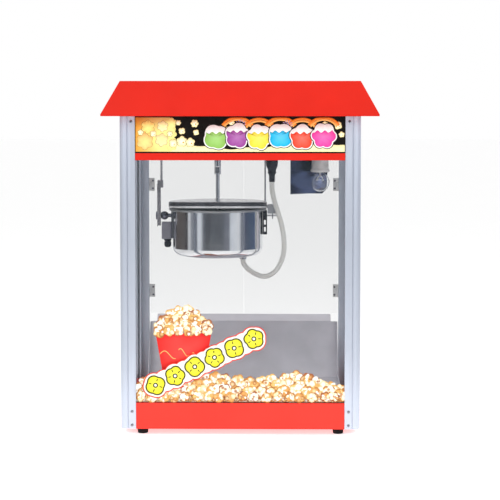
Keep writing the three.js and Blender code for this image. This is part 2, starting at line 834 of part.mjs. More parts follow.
function addRightHanger() {
  const hanger = groupAt(kettleX + kettleRadius, 0, tiltZ);
  const [blockX, blockY, blockZ] = blockSize;
  const [armX, armZ] = armSection;
  const armStart = blockOut + 2;
  const armRange = [armBottom, armBottom + armZ];
  const block = box(
    [blockOut, blockOut + blockX],
    [-blockY / 2, blockY / 2],
    [blockBottom, blockBottom + blockZ],
  );
  const eyeX = [eyeOut, eyeOut + eyeThickness];
  const eye = cut(
    box(eyeX, [-eyeHalfWidth, eyeHalfWidth], [eyeBottom, blockBottom + 1]),
    alongX(cylinder(pinRadius + clearance, [eyeX[0] - 1, eyeX[1] + 1], 16)),
  );
  const backY = [thinRodBack - armX / 2, thinRodBack + armX / 2];
  const shape = join(
    block,
    eye,
    box([armStart, armStart + armX], [blockY / 2 - 1, backY[1]], armRange),
    box([thinRodOut - thinRodRadius, armStart + armX], backY, armRange),
    cylinder(thinRodRadius, [armBottom + 1, tiltDrop - clearance], 12).translate(thinRodOut, thinRodBack, 0),
  );
  add('hanger_right', shape, darkSteel, hanger);
}

// ------------------------------------------------------------------ drive
function addDrive() {
  const drive = groupAt(kettleX, 0, tiltZ);
  const motorBottom = tiltDrop + sheet + clearance;
  const shoulder = tiltDrop - 2;
  const slotReach = forkRadius + 1;
  const slot = box([-forkSlotHalf, forkSlotHalf], [-slotReach, slotReach], [forkBottom - 1, forkSlotTop]);
  const boreTop = motorBottom + 22;
  const fork = join(
    cylinder(forkRadius, [forkBottom, shoulder]),
    cylinder(motorShaftRadius, [shoulder - 1, boreTop - 1]),
  );
  add('drive_fork', cut(fork, slot), stainless, drive);

  const [boxX, boxY, boxZ] = gearboxSize;
  const gearboxTop = motorBottom + boxZ;
  const motor = join(
    box([-boxX / 2, boxX / 2], [-boxY / 2, boxY / 2], [motorBottom, gearboxTop]),
    cylinder(motorRadius, [gearboxTop - 1, gearboxTop + motorHeight], 32),
  );
  const bore = cylinder(motorShaftRadius + clearance, [motorBottom - 1, boreTop]);
  add('gear_motor', cut(motor, bore), darkSteel, drive);
}

// ------------------------------------------------------------------ kettle lead
function addLead() {
  const path = new THREE.CatmullRomCurve3(leadPoints.map(([x, y, z]) => new THREE.Vector3(x, y, z)));
  const round = arc(0, 0, leadRadius, 0, 360, leadSides).slice(0, leadSides);
  const section = new THREE.Shape(round.map(([x, y]) => new THREE.Vector2(x, y)));
  const tube = new THREE.ExtrudeGeometry(section, { steps: leadSteps, extrudePath: path });
  add('kettle_cable', tube, braid);

  const head = groupAt(plugX, plugY, ceilingZ);
  const plug = turned([
    [0, -plugDrop],
    [6.3, -plugDrop],
    [7, -36],
    [9.3, -33],
    [9.3, -30],
    [8.1, -28.5],
    [8.3, -26],
    [plugRadius - 0.7, -18],
    [plugRadius, -13],
    [plugRadius, -clearance],
    [plugNoseRadius, -clearance],
    [plugNoseRadius, plugNoseLength],
    [0, plugNoseLength],
  ], 24);
  add('kettle_plug', plug, blackPlastic, head);

  const cupInner = plugNoseRadius + 2 * clearance;
  const cupOuter = plugNoseRadius + socketWall;
  const cupBottom = sheet + clearance;
  const cupTop = plugNoseLength + 4;
  const cup = turned([
    [0, plugNoseLength + clearance],
    [cupInner, plugNoseLength + clearance],
    [cupInner, cupBottom],
    [cupOuter, cupBottom],
    [cupOuter, cupTop],
    [0, cupTop],
  ], 24);
  add('kettle_socket', cup, blackPlastic, head);
}

// ------------------------------------------------------------------ lamp
function addLamp() {
  const lamp = groupAt(lampX, lampY, ceilingZ);
  const neckHole = bulbNeckRadius + 2 * clearance;
  const holeTop = -lampSocketLength + bulbNeckLength;
  const socket = turned([
    [0, holeTop],
    [neckHole, holeTop],
    [neckHole, -lampSocketLength],
    [lampSocketRadius, -lampSocketLength],
    [lampSocketRadius, -lampSocketLength + 3],
    [lampSocketTopRadius, -clearance],
    [0, -clearance],
  ], 32);
  add('lamp_socket', socket, ceramic, lamp);

  const neckAngle = THREE.MathUtils.radToDeg(Math.acos(bulbNeckRadius / bulbRadius));
  const bulbZ = -lampSocketLength - clearance - bulbRadius * Math.sin(THREE.MathUtils.degToRad(neckAngle)) - 2;
  const bulb = turned([
    [0, bulbZ - bulbRadius],
    ...arc(0, bulbZ, bulbRadius, -80, neckAngle, 12),
    [bulbNeckRadius, holeTop - clearance],
    [0, holeTop - clearance],
  ], 24);
  add('lamp_bulb', bulb, clearGlass, lamp);

  const plan = [
    [-guardLeft, guardBack - guardForward],
    [-guardBend, guardBack],
    [guardRight, guardBack],
    [guardRight, guardBack + guardThickness],
    [-guardBend - guardThickness / 2, guardBack + guardThickness],
    [-guardLeft - guardThickness, guardBack - guardForward + guardThickness / 2],
  ];
  const guard = raised(plan, [-guardDrop, -clearance]);
  const corner = box([-guardChamfer, guardChamfer], [-3, 3], [-guardChamfer, guardChamfer]);
  corner.rotateY(Math.PI / 4).translate(guardRight, guardBack, -guardDrop);
  add('lamp_guard', cut(guard, corner), darkSteel, lamp);
}

// ------------------------------------------------------------------ tray
function addTray() {
  const tray = groupAt(0, 0, baseTop + clearance);
  const half = halfWidth - postSize - trayGap;
  const front = -(halfDepth - postArm - clearance);
  const rampFoot = [rearFace - trayRampStart, 0];
  const creases = trayCreases.map(([back, up]) => [rearFace - back, up]);
  const top = creases[creases.length - 1];
  const under = [[front, 0], rampFoot, ...creases];
  const over = under.map(([y, z]) => [y - (z > 0 ? sheet : sheet / 2), z + (z > 0 ? 0 : sheet)]).reverse();
  over[over.length - 1][0] = front;
  const floorAndRamp = drawnX([...under, ...over], [-half, half]);
  const lipX = half - trayLipInset;
  const [lipBack, lipUp] = trayLip;
  const lip = drawnX([
    [top[0] - sheet, top[1] - 1],
    [top[0], top[1] - 1],
    [rearFace + lipBack, lipUp - sheet],
    [rearFace + lipBack, lipUp],
    [top[0] - sheet, top[1] + 1],
  ], [-lipX, lipX]);
  const backPanel = box([-half, half], [top[0] - sheet, top[0]], [0, top[1]]);
  const cheek = [
    [front, 0],
    rampFoot,
    ...creases,
    [top[0] - 6, top[1]],
    [rearFace - trayRailEnd, trayRail],
    [front, trayRail],
  ];
  const cheeks = sides.map(([, sx]) => drawnX(cheek, sx < 0 ? [-half, -half + sheet] : [half - sheet, half]));
  add('popcorn_tray', join(floorAndRamp, lip, backPanel, ...cheeks), stainless, tray);
}

// ------------------------------------------------------------------ assembly
addBase();
addFeet();
addPosts();
addGlass();
addFascia();
addCeiling();
addRoof();
addControlPanel();
addRockers();
addCordGland();
addDoors();

const kettleGroup = groupAt(kettleX, 0, tiltZ);
addKettlePot(kettleGroup);
addLid(kettleGroup);
addAgitator(kettleGroup);
addLeftPivot(kettleGroup);
addRightPivot(kettleGroup);

addLeftHanger();
addRightHanger();
addDrive();
addLead();
addLamp();
addTray();

export default machine;
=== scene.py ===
"""The looks of a counter-top popcorn machine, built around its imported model."""
import json
import math
import random

import bmesh
import bpy
from mathutils import Matrix, Vector

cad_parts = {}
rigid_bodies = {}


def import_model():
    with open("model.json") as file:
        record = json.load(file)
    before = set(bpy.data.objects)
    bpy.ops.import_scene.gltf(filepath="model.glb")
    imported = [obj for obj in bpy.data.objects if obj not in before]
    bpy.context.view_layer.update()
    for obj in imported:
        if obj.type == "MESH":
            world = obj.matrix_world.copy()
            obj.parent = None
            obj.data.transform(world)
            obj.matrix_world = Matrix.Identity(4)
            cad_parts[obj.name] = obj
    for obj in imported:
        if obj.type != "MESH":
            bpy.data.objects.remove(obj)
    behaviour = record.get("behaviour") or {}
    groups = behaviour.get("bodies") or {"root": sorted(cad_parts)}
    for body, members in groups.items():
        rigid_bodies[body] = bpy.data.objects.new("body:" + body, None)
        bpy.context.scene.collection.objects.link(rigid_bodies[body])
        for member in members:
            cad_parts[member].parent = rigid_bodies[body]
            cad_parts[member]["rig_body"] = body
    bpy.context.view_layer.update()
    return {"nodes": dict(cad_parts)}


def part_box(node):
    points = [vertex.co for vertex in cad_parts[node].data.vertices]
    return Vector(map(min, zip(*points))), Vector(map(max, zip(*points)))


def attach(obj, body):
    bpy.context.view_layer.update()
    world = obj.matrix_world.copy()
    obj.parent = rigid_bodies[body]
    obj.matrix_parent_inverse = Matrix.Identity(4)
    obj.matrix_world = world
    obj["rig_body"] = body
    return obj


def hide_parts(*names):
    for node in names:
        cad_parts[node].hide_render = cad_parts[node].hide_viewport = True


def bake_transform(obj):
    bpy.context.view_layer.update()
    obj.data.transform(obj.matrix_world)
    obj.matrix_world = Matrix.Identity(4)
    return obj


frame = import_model()

MM = 0.001
NODES = frame["nodes"]
SIDES = (("left", -1), ("right", 1))
CORNERS = [(f"{end}_{side}", sx, sy) for end, sy in (("front", -1), ("rear", 1)) for side, sx in SIDES]
SHARP_ANGLE = math.radians(38)  # an edge turning more than this shows as an edge
FLAT_ANGLE = math.radians(0.4)  # faces turning less than this are one face
WELD_DISTANCE = 0.01 * MM
BEVEL_SEGMENTS = 2


def new_object(name, data):
    made = bpy.data.objects.new(name, data)
    bpy.context.scene.collection.objects.link(made)
    return made


def mesh_from(bm, name):
    mesh = bpy.data.meshes.new(name)
    bm.to_mesh(mesh)
    bm.free()
    return mesh


def turns_round(count):
    """Angles that go once round in even steps."""
    return [2 * math.pi * i / count for i in range(count)]


def standing(place, toward):
    """The matrix that moves the origin to place and turns +Z towards a direction."""
    return Matrix.Translation(place) @ Vector(toward).to_track_quat("Z", "Y").to_matrix().to_4x4()


# ---- camera, light and floor
CAMERA_PLACE = (0.0766, -3.485, 0.683)
CAMERA_LENS = 117.6
CAMERA_YAW = math.radians(0.98)  # to the left
CAMERA_PITCH = math.radians(3.74)  # down
CAMERA_SHIFT_Y = -0.086
CAMERA_SENSOR = 36
CAMERA_REACH = 60  # metres, well past the floor that shows


def add_camera():
    data = bpy.data.cameras.new("camera")
    data.lens = CAMERA_LENS
    data.sensor_width = CAMERA_SENSOR
    data.shift_y = CAMERA_SHIFT_Y
    data.clip_end = CAMERA_REACH
    camera = new_object("camera", data)
    camera.location = CAMERA_PLACE
    turn = Matrix.Rotation(CAMERA_YAW, 4, "Z") @ Matrix.Rotation(math.pi / 2 - CAMERA_PITCH, 4, "X")
    camera.rotation_euler = turn.to_euler()
    bpy.context.scene.camera = camera


STUDIO_AREAS = (  # name, place, what it points at, size, watts
    ("key", (-1.6, -2.6, 2.6), (0, 0, 0.35), (1.6, 1.6), 22),
    ("fill", (2.2, -2.2, 1.9), (0, 0, 0.35), (1.4, 1.4), 12),
    ("top", (0, 0.3, 2.8), (0, 0, 0.4), (2.4, 2.4), 9),
)
FLOOR_WASH = ("floor_wash", (0.05, -1.3, 0.45), (0.05, -0.42, 0), (1.4, 0.3), 3)  # hidden from gloss
FLOOR_HALF = 25.0
FLOOR_DROP = 0.5 * MM  # the floor lies this far under the feet


def add_area(name, place, aim, size, power):
    light = bpy.data.lights.new(name, "AREA")
    light.shape = "RECTANGLE"
    light.size, light.size_y = size
    light.energy = power
    lamp = new_object(name, light)
    lamp.location = place
    lamp.rotation_euler = (Vector(aim) - Vector(place)).to_track_quat("-Z", "Y").to_euler()
    return lamp


# A ring of studio cards stands round the object and shows only in its reflections. Each stop is an azimuth
# in degrees (0 is towards the camera, positive to the right) and the colour there.
RING_RADIUS = 2.3
RING_HEIGHT = (-0.4, 2.4)
RING_STEP = 1.0
RING_STOPS = (
    (-180, (1.0, 1.0, 1.0)), (-140, (0.9, 0.9, 0.92)), (-134, (0.42, 0.38, 0.38)),
    (-130, (0.04, 0.03, 0.032)), (-121, (0.1, 0.074, 0.068)), (-92, (0.105, 0.08, 0.074)),
    (-86, (0.04, 0.03, 0.032)), (-80, (0.04, 0.03, 0.032)), (-78, (0.85, 0.85, 0.88)),
    (-72, (0.8, 0.82, 0.86)), (-69, (0.3, 0.31, 0.35)), (-62, (0.36, 0.38, 0.42)),
    (-59, (0.92, 0.95, 1.0)), (-42, (0.88, 0.92, 0.98)), (-36, (0.16, 0.17, 0.2)),
    (-31, (0.085, 0.09, 0.11)), (-22, (0.045, 0.048, 0.06)), (-15, (0.1, 0.105, 0.125)),
    (6, (0.095, 0.1, 0.12)), (16, (0.12, 0.125, 0.155)), (20, (0.19, 0.2, 0.25)),
    (29, (0.17, 0.18, 0.23)),
    (33, (0.85, 0.9, 0.97)), (57, (0.95, 0.97, 1.0)), (61, (0.36, 0.36, 0.43)), (71, (0.32, 0.32, 0.4)),
    (74, (0.045, 0.06, 0.12)), (92, (0.055, 0.085, 0.16)), (111, (0.07, 0.11, 0.21)),
    (115, (0.62, 0.58, 0.64)),
    (128, (0.7, 0.66, 0.7)), (134, (0.95, 0.95, 0.97)), (180, (1.0, 1.0, 1.0)),
)


def ring_color(azimuth):
    for (start, first), (end, last) in zip(RING_STOPS, RING_STOPS[1:]):
        if azimuth <= end:
            t = (azimuth - start) / (end - start)
            return tuple(a + (b - a) * t for a, b in zip(first, last))
    return RING_STOPS[-1][1]


def add_ring():
    count = round(360 / RING_STEP)
    azimuths = [-180 + RING_STEP * i for i in range(count + 1)]
    verts = []
    for azimuth in azimuths:
        angle = math.radians(azimuth)
        verts += [(RING_RADIUS * math.sin(angle), -RING_RADIUS * math.cos(angle), z) for z in RING_HEIGHT]
    mesh = bpy.data.meshes.new("studio_ring")
    mesh.from_pydata(verts, [], [(2 * i, 2 * i + 1, 2 * i + 3, 2 * i + 2) for i in range(count)])
    colors = mesh.color_attributes.new("card", "FLOAT_COLOR", "POINT")
    for index, azimuth in enumerate(azimuths):
        for side in (0, 1):
            colors.data[2 * index + side].color = (*ring_color(azimuth), 1)
    material = bpy.data.materials.new("studio_ring")
    material.use_nodes = True
    tree = material.node_tree
    tree.nodes.clear()
    card = tree.nodes.new("ShaderNodeVertexColor")
    card.layer_name = "card"
    glow = tree.nodes.new("ShaderNodeEmission")
    out = tree.nodes.new("ShaderNodeOutputMaterial")
    tree.links.new(card.outputs["Color"], glow.inputs["Color"])
    tree.links.new(glow.outputs[0], out.inputs["Surface"])
    mesh.materials.append(material)
    ring = new_object("studio_ring", mesh)
    for ray in ("camera", "diffuse", "shadow", "transmission", "volume_scatter"):
        setattr(ring, f"visible_{ray}", False)


def add_studio():
    scene = bpy.context.scene
    scene.view_settings.view_transform = "Standard"
    world = bpy.data.worlds.new("studio")
    scene.world = world
    world.use_nodes = True
    sky = world.node_tree.nodes["Background"]
    sky.inputs["Color"].default_value = (1.0, 1.0, 1.0, 1)
    sky.inputs["Strength"].default_value = 1.0
    for area in STUDIO_AREAS:
        add_area(*area)
    add_area(*FLOOR_WASH).visible_glossy = False
    add_ring()


def add_floor():
    corners = [(x * FLOOR_HALF, y * FLOOR_HALF, 0) for x, y in ((-1, -1), (1, -1), (1, 1), (-1, 1))]
    mesh = bpy.data.meshes.new("floor")
    mesh.from_pydata(corners, [], [(0, 1, 2, 3)])
    mesh.materials.append(floor_paint())
    floor = new_object("floor", mesh)
    floor.location.z = -FLOOR_DROP


# ---- shader helpers
class Shader:
    """A Principled material, with short ways to add the nodes that feed it."""

    def __init__(self, name, color, roughness, metallic=0.0, **sockets):
        self.material = bpy.data.materials.new(name)
        self.material.use_nodes = True
        self.tree = self.material.node_tree
        self.surface = self.tree.nodes["Principled BSDF"]
        sockets.update(Base_Color=(*color, 1), Roughness=roughness, Metallic=metallic)
        for key, value in sockets.items():
            self.surface.inputs[key.replace("_", " ")].default_value = value

    def add(self, kind, **inputs):
        node = self.tree.nodes.new(kind)
        for key, value in inputs.items():
            self.feed(value, node.inputs[key.replace("_", " ")])
        return node

    def feed(self, value, socket):
        if isinstance(value, bpy.types.NodeSocket):
            self.tree.links.new(value, socket)
        else:
            socket.default_value = value

    def coordinates(self, stretch=(1, 1, 1), source="Object"):
        place = self.add("ShaderNodeTexCoord").outputs[source]
        return self.add("ShaderNodeMapping", Vector=place, Scale=stretch).outputs["Vector"]

    def noise(self, scale, detail=2.0, stretch=(1, 1, 1)):
        node = self.add("ShaderNodeTexNoise", Vector=self.coordinates(stretch), Scale=scale, Detail=detail)
        return node.outputs["Fac"]

    def math(self, operation, a, b=0.0):
        node = self.tree.nodes.new("ShaderNodeMath")
        node.operation = operation
        self.feed(a, node.inputs[0])
        self.feed(b, node.inputs[1])
        return node.outputs[0]

    def map_range(self, value, start, end, low, high):
        places = {"From_Min": start, "From_Max": end, "To_Min": low, "To_Max": high}
        return self.add("ShaderNodeMapRange", Value=value, **places).outputs["Result"]

    def spread(self, value, low, high):
        """Noise sits around 0.5, so its middle part is stretched over low to high."""
        return self.map_range(value, 0.3, 0.7, low, high)

    def ramp(self, value, *stops):
        node = self.add("ShaderNodeValToRGB", Fac=value)
        elements = node.color_ramp.elements
        while len(elements) < len(stops):
            elements.new(0.5)
        for element, (position, color) in zip(elements, stops):
            element.position = position
            element.color = (*color, 1)
        return node.outputs["Color"]

    def color(self, value):
        self.feed(value, self.surface.inputs["Base Color"])

    def roughness(self, value):
        self.feed(value, self.surface.inputs["Roughness"])

    def bump(self, height, depth, strength=1.0):
        """depth is in metres."""
        node = self.add("ShaderNodeBump", Height=height, Distance=depth, Strength=strength)
        self.feed(node.outputs["Normal"], self.surface.inputs["Normal"])


def shade(color, factor):
    return tuple(min(1.0, c * factor) for c in color)


def varied(shader, color, scale, low=0.92, high=1.06, stretch=(1, 1, 1)):
    """The colour drifts a little, as any real finish does."""
    drift = shader.noise(scale, 3.0, stretch)
    shader.color(shader.ramp(drift, (0.3, shade(color, low)), (0.7, shade(color, high))))
    return shader


# ---- materials
POOL_EDGE = (0.3, 0.75)  # metres from the middle over which the pool of light fades
POOL_GLOW = 0.55


def floor_paint():
    """A pale floor with a pool of painted light: it glows under the object, which softens its shadow."""
    color = (0.985, 0.985, 0.985)
    shader = Shader("floor_paint", color, 0.7, Emission_Color=(1, 1, 1, 1))
    varied(shader, color, 3.0, 0.998, 1.002)
    distance = shader.tree.nodes.new("ShaderNodeVectorMath")
    distance.operation = "LENGTH"
    shader.feed(shader.coordinates(), distance.inputs[0])
    # painted light: emission strength that fades outwards from under the object
    pool = shader.map_range(distance.outputs["Value"], *POOL_EDGE, POOL_GLOW, 0.0)
    shader.feed(pool, shader.surface.inputs["Emission Strength"])
    return shader.material


def red_paint(name, color):
    shader = varied(Shader(name, color, 0.34, Specular_IOR_Level=0.14), color, 9.0, 0.95, 1.05)
    shader.roughness(shader.spread(shader.noise(35, 3), 0.28, 0.42))
    shader.bump(shader.noise(950, 1), 0.00004, 0.5)
    return shader.material


def anodised():
    """Drawn aluminium with long streaks, painted brighter towards both ends of the bar and darker in its
    middle: painted highlight and painted shade.
    """
    color = (0.47, 0.51, 0.59)
    shader = Shader("anodised_aluminium", color, 0.4, 0.35)
    height = shader.add("ShaderNodeSeparateXYZ", Vector=shader.coordinates()).outputs["Z"]
    drift = shader.math("MULTIPLY", shader.noise(40, 3, (6, 6, 0.15)), 0.16)
    place = shader.math("ADD", height, shader.math("SUBTRACT", drift, 0.08))
    # painted light by height: a painted highlight at the ends, painted shade in the middle
    ends, middle = shade(color, 1.22), shade(color, 0.9)
    stops = ((0.07, ends), (0.18, color), (0.4, middle), (0.52, color), (0.64, ends))
    shader.color(shader.ramp(place, *stops))
    streaks = shader.noise(900, 2, (1, 1, 0.01))
    shader.roughness(shader.spread(streaks, 0.33, 0.5))
    shader.bump(streaks, 0.00003, 0.6)
    return shader.material


def brushed_steel(name, color, roughness, stretch, wear=0.06, metallic=1.0):
    """Steel brushed along the directions whose stretch is small."""
    shader = varied(Shader(name, color, roughness, metallic), color, 18, 0.9, 1.06)
    lines = shader.noise(700, 3, stretch)
    shader.roughness(shader.spread(lines, roughness - wear, roughness + wear))
    shader.bump(lines, 0.00003, 0.5)
    return shader.material


def moulded(name, color, roughness, grain=1400, depth=0.00006, **sockets):
    shader = varied(Shader(name, color, roughness, **sockets), color, 60, 0.85, 1.2)
    shader.roughness(shader.spread(shader.noise(90, 3), roughness - 0.08, roughness + 0.1))
    shader.bump(shader.noise(grain, 2), depth, 0.5)
    return shader.material


def pane_glass(name, alpha):
    """Flat clear glass with a trace of wiping marks in its gloss."""
    shader = Shader(name, (0.1, 0.12, 0.13), 0.04, Alpha=alpha, IOR=1.5)
    shader.roughness(shader.spread(shader.noise(6, 4, (1, 1, 3)), 0.02, 0.09))
    return shader.material


def bulb_glass():
    shader = Shader("bulb_glass", (0.97, 0.98, 0.99), 0.0, Transmission_Weight=1.0, IOR=1.46)
    shader.roughness(shader.spread(shader.noise(80, 2), 0.0, 0.03))
    return shader.material


def painted_print(name, roughness=0.3):
    """Ink in the colours that the mesh carries, with a faint screen grain."""
    shader = Shader(name, (0.8, 0.8, 0.8), roughness, Specular_IOR_Level=0.2)
    ink = shader.tree.nodes.new("ShaderNodeVertexColor")
    ink.layer_name = "ink"
    grain = shader.spread(shader.noise(1500, 1), 0.95, 1.04)
    mix = shader.tree.nodes.new("ShaderNodeVectorMath")
    mix.operation = "SCALE"
    shader.feed(ink.outputs["Color"], mix.inputs[0])
    shader.feed(grain, mix.inputs["Scale"])
    shader.color(mix.outputs[0])
    shader.roughness(shader.spread(shader.noise(40, 2), roughness - 0.06, roughness + 0.08))
    return shader.material


BRAID_STRANDS = 8  # of each family, once round the sleeve
BRAID_INKS = ((0.25, (0.2, 0.2, 0.19)), (0.6, (0.52, 0.52, 0.5)), (0.95, (0.78, 0.78, 0.76)))


def braid():
    """Two crossing families of strands wound round the sleeve; u goes round it and v along it."""
    shader = Shader("braid", (0.6, 0.6, 0.58), 0.7, Sheen_Weight=0.25)
    place = shader.add("ShaderNodeUVMap")
    split = shader.add("ShaderNodeSeparateXYZ", Vector=place.outputs["UV"])
    rate = 2 * math.pi * BRAID_STRANDS
    around = shader.math("MULTIPLY", split.outputs["X"], rate)
    along = shader.math("MULTIPLY", split.outputs["Y"], rate)
    right = shader.math("SINE", shader.math("ADD", around, along))
    left = shader.math("SINE", shader.math("SUBTRACT", around, along))
    weave = shader.math("MAXIMUM", right, left)
    height = shader.math("ADD", shader.math("MULTIPLY", weave, 0.5), 0.5)
    shader.color(shader.ramp(height, *BRAID_INKS))
    shader.roughness(shader.spread(shader.noise(300, 2), 0.6, 0.8))
    shader.bump(height, 0.0005, 0.8)
    return shader.material


PAINT = red_paint("red_paint", (0.62, 0.015, 0.006))
BASE_PAINT = red_paint("base_paint", (0.8, 0.042, 0.029))
ANODISED = anodised()
POLISHED = brushed_steel("polished_steel", (0.8, 0.81, 0.83), 0.13, (0.02, 0.02, 1), 0.04)
SATIN = brushed_steel("satin_steel", (0.7, 0.71, 0.74), 0.3, (0.02, 1, 1))
TRAY_STEEL = brushed_steel("tray_steel", (0.6, 0.59, 0.64), 0.42, (0.02, 1, 1), metallic=0.35)
LID_TOP = brushed_steel("lid_top_steel", (0.72, 0.72, 0.74), 0.25, (0.02, 1, 1), metallic=0.4)
# the lid wall's near-black steel is a painted reflection of dark surroundings
LID_WALL_REFLECTION = brushed_steel("lid_wall_painted_reflection", (0.068, 0.067, 0.078), 0.4, (1, 1, 0.1), metallic=0.7)
HINGE_STEEL = brushed_steel("hinge_steel", (0.95, 0.94, 0.93), 0.45, (0.1, 1, 1), metallic=0.05)
ROD_STEEL = brushed_steel("rod_steel", (0.52, 0.5, 0.53), 0.2, (1, 1, 0.02), 0.04, metallic=0.75)
# the lamp guard is stainless; its dark navy colour is a painted reflection of dark surroundings
GUARD_PAINTED_REFLECTION = brushed_steel("guard_steel_painted_reflection", (0.075, 0.098, 0.195), 0.16, (1, 1, 0.01))
DARK_STEEL = brushed_steel("dark_steel", (0.16, 0.16, 0.2), 0.32, (1, 1, 0.05))
CAST = brushed_steel("spun_aluminium", (0.42, 0.42, 0.43), 0.45, (1, 1, 0.05))
ZINC = brushed_steel("zinc_plate", (0.3, 0.31, 0.35), 0.34, (1, 1, 1))
RUBBER = moulded("rubber", (0.006, 0.006, 0.007), 0.75, 900, 0.00012, Specular_IOR_Level=0.2)
BLACK = moulded("black_plastic", (0.01, 0.009, 0.018), 0.42, Specular_IOR_Level=0.15)
GREY = moulded("grey_plastic", (0.165, 0.16, 0.195), 0.5, 700, 0.00012)
BLOCK_GREY = moulded("block_grey", (0.27, 0.28, 0.31), 0.48, 700, 0.00012)
CERAMIC = moulded("lamp_ceramic", (0.52, 0.5, 0.5), 0.3, 300, 0.00003, Coat_Weight=0.4)
GLASS = pane_glass("pane_glass", 0.09)
DOOR_GLASS = pane_glass("door_glass", 0.025)
BULB_GLASS = bulb_glass()
SIGN_BLACK = moulded("sign_black", (0.008, 0.007, 0.006), 0.3, 500, 0.00002, Specular_IOR_Level=0.15)
PRINT = painted_print("printed_ink")
STICKER = painted_print("sticker_ink", 0.38)
BRAID = braid()


# ---- mesh helpers
def set_edges(bm, sharp=SHARP_ANGLE):
    for face in bm.faces:
        face.smooth = True
    for edge in bm.edges:
        edge.smooth = len(edge.link_faces) == 2 and edge.calc_face_angle(0) < sharp


def place_piece(bm, name, material, body, weighted=True):
    """Turns a bmesh in the object's frame into a piece that rides on a body."""
    set_edges(bm)
    mesh = mesh_from(bm, name)
    materials = material if isinstance(material, tuple) else (material,)
    for item in materials:
        mesh.materials.append(item)
    piece = new_object(name, mesh)
    if weighted:
        even = piece.modifiers.new("even_shading", "WEIGHTED_NORMAL")
        even.keep_sharp = True
    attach(piece, body)
    return piece


LID_ROLL = 4 * MM  # the bright rolled edge, in the lid's top steel, under the wall that is painted dark as a reflection


def paint_lid_wall_reflection(bm):
    """Gives a lid's wall the second material, a dark copy of its steel as painted reflection, above its
    rolled edge.
    """
    top = max((face for face in bm.faces if face.normal.z > 0.7), key=lambda face: face.calc_area())
    up = top.normal.copy()
    roll = min(vert.co.dot(up) for vert in bm.verts) + LID_ROLL
    geom = [*bm.verts, *bm.edges, *bm.faces]
    bmesh.ops.bisect_plane(bm, geom=geom, plane_co=up * roll, plane_no=up)
    for face in bm.faces:
        wall = abs(face.normal.dot(up)) < 0.6 and face.calc_center_median().dot(up) > roll
        face.material_index = 1 if wall else 0


def refine(node, material, bevel):
    """Replaces a CAD solid by a copy with edges rounded by bevel millimetres. A lid has two materials: its
    steel and, on its wall, a dark copy that is a painted reflection.
    """
    source = NODES[node]
    bm = bmesh.new()
    bm.from_mesh(source.data)
    bmesh.ops.remove_doubles(bm, verts=bm.verts, dist=WELD_DISTANCE)
    bmesh.ops.dissolve_limit(bm, angle_limit=FLAT_ANGLE, verts=bm.verts, edges=bm.edges)
    edges = [e for e in bm.edges if len(e.link_faces) == 2 and e.calc_face_angle(0) > SHARP_ANGLE]
    if bevel:
        bmesh.ops.bevel(
            bm, geom=edges, offset=bevel * MM, offset_type="OFFSET", segments=BEVEL_SEGMENTS,
            profile=0.5, affect="EDGES", clamp_overlap=True,
        )
    if isinstance(material, tuple):
        paint_lid_wall_reflection(bm)
    piece = place_piece(bm, f"{node}_shaped", material, source["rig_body"])
    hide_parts(node)


def spin(bm, profile, segments, matrix=Matrix.Identity(4)):
    """Adds a solid of revolution to bm: (radius, height) points in metres round Z, then moved by matrix."""
    rings = []
    for radius, height in profile:
        if radius < 1e-7:
            rings.append([bm.verts.new(matrix @ Vector((0, 0, height)))])
            continue
        places = [(radius * math.cos(a), radius * math.sin(a), height) for a in turns_round(segments)]
        rings.append([bm.verts.new(matrix @ Vector(place)) for place in places])
    for low, high in zip(rings, rings[1:]):
        for i in range(segments):
            j = (i + 1) % segments
            corners = [low[i % len(low)], low[j % len(low)], high[j % len(high)], high[i % len(high)]]
            corners = list(dict.fromkeys(corners))
            if len(corners) > 2:
                bm.faces.new(corners)
    bmesh.ops.recalc_face_normals(bm, faces=bm.faces)


def scaled(points, wide, high):
    return [(x * wide, y * high) for x, y in points]


def mm_points(points):
    return scaled(points, MM, MM)


def rounded(points, radius, steps=4):
    """An open outline in millimetres with its inner corners rounded."""
    result = [points[0]]
    for before, corner, after in zip(points, points[1:], points[2:]):
        corner = Vector(corner)
        to_start, to_end = Vector(before) - corner, Vector(after) - corner
        cut = min(radius, to_start.length * 0.45, to_end.length * 0.45)
        first = corner + to_start.normalized() * cut
        last = corner + to_end.normalized() * cut
        for i in range(steps + 1):
            t = i / steps
            result.append(tuple(first * (1 - t) ** 2 + corner * 2 * t * (1 - t) + last * t ** 2))
    result.append(points[-1])
    return result


def turned_piece(name, profile, centre, material, body, radius, segments, toward=(0, 0, 1)):
    """A turned piece: a profile in millimetres, its corners rounded, standing on centre along toward."""
    bm = bmesh.new()
    spin(bm, mm_points(rounded(profile, radius)), segments, standing(centre, toward))
    return place_piece(bm, name, material, body)


def stand(node):
    """The middle of a node's underside, and its radius and height in millimetres."""
    low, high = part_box(node)
    base = Vector(((low.x + high.x) / 2, (low.y + high.y) / 2, low.z))
    return base, (high.x - low.x) / 2 / MM, (high.z - low.z) / MM


# ---- the kettle's cable
CABLE_DIAMETER = 0.0105
CABLE_ROUTE = (
    (0.064, -0.025, 0.5092), (0.0641, -0.025, 0.498), (0.066, -0.025, 0.484), (0.07, -0.025, 0.467),
    (0.076, -0.024, 0.448), (0.0815, -0.022, 0.43), (0.0865, -0.02, 0.409), (0.0895, -0.018, 0.388),
    (0.09, -0.016, 0.368), (0.0865, -0.0135, 0.347), (0.078, -0.0105, 0.3275), (0.065, -0.007, 0.313),
    (0.048, -0.0035, 0.3065), (0.03, -0.001, 0.311), (0.014, 0.0, 0.321), (0.005, 0.0, 0.331),
    (0.0022, 0.0, 0.3375), (0.002, 0.0, 0.3433),
)
CABLE_RINGS_PER_POINT = 8
CABLE_SIDES = 20


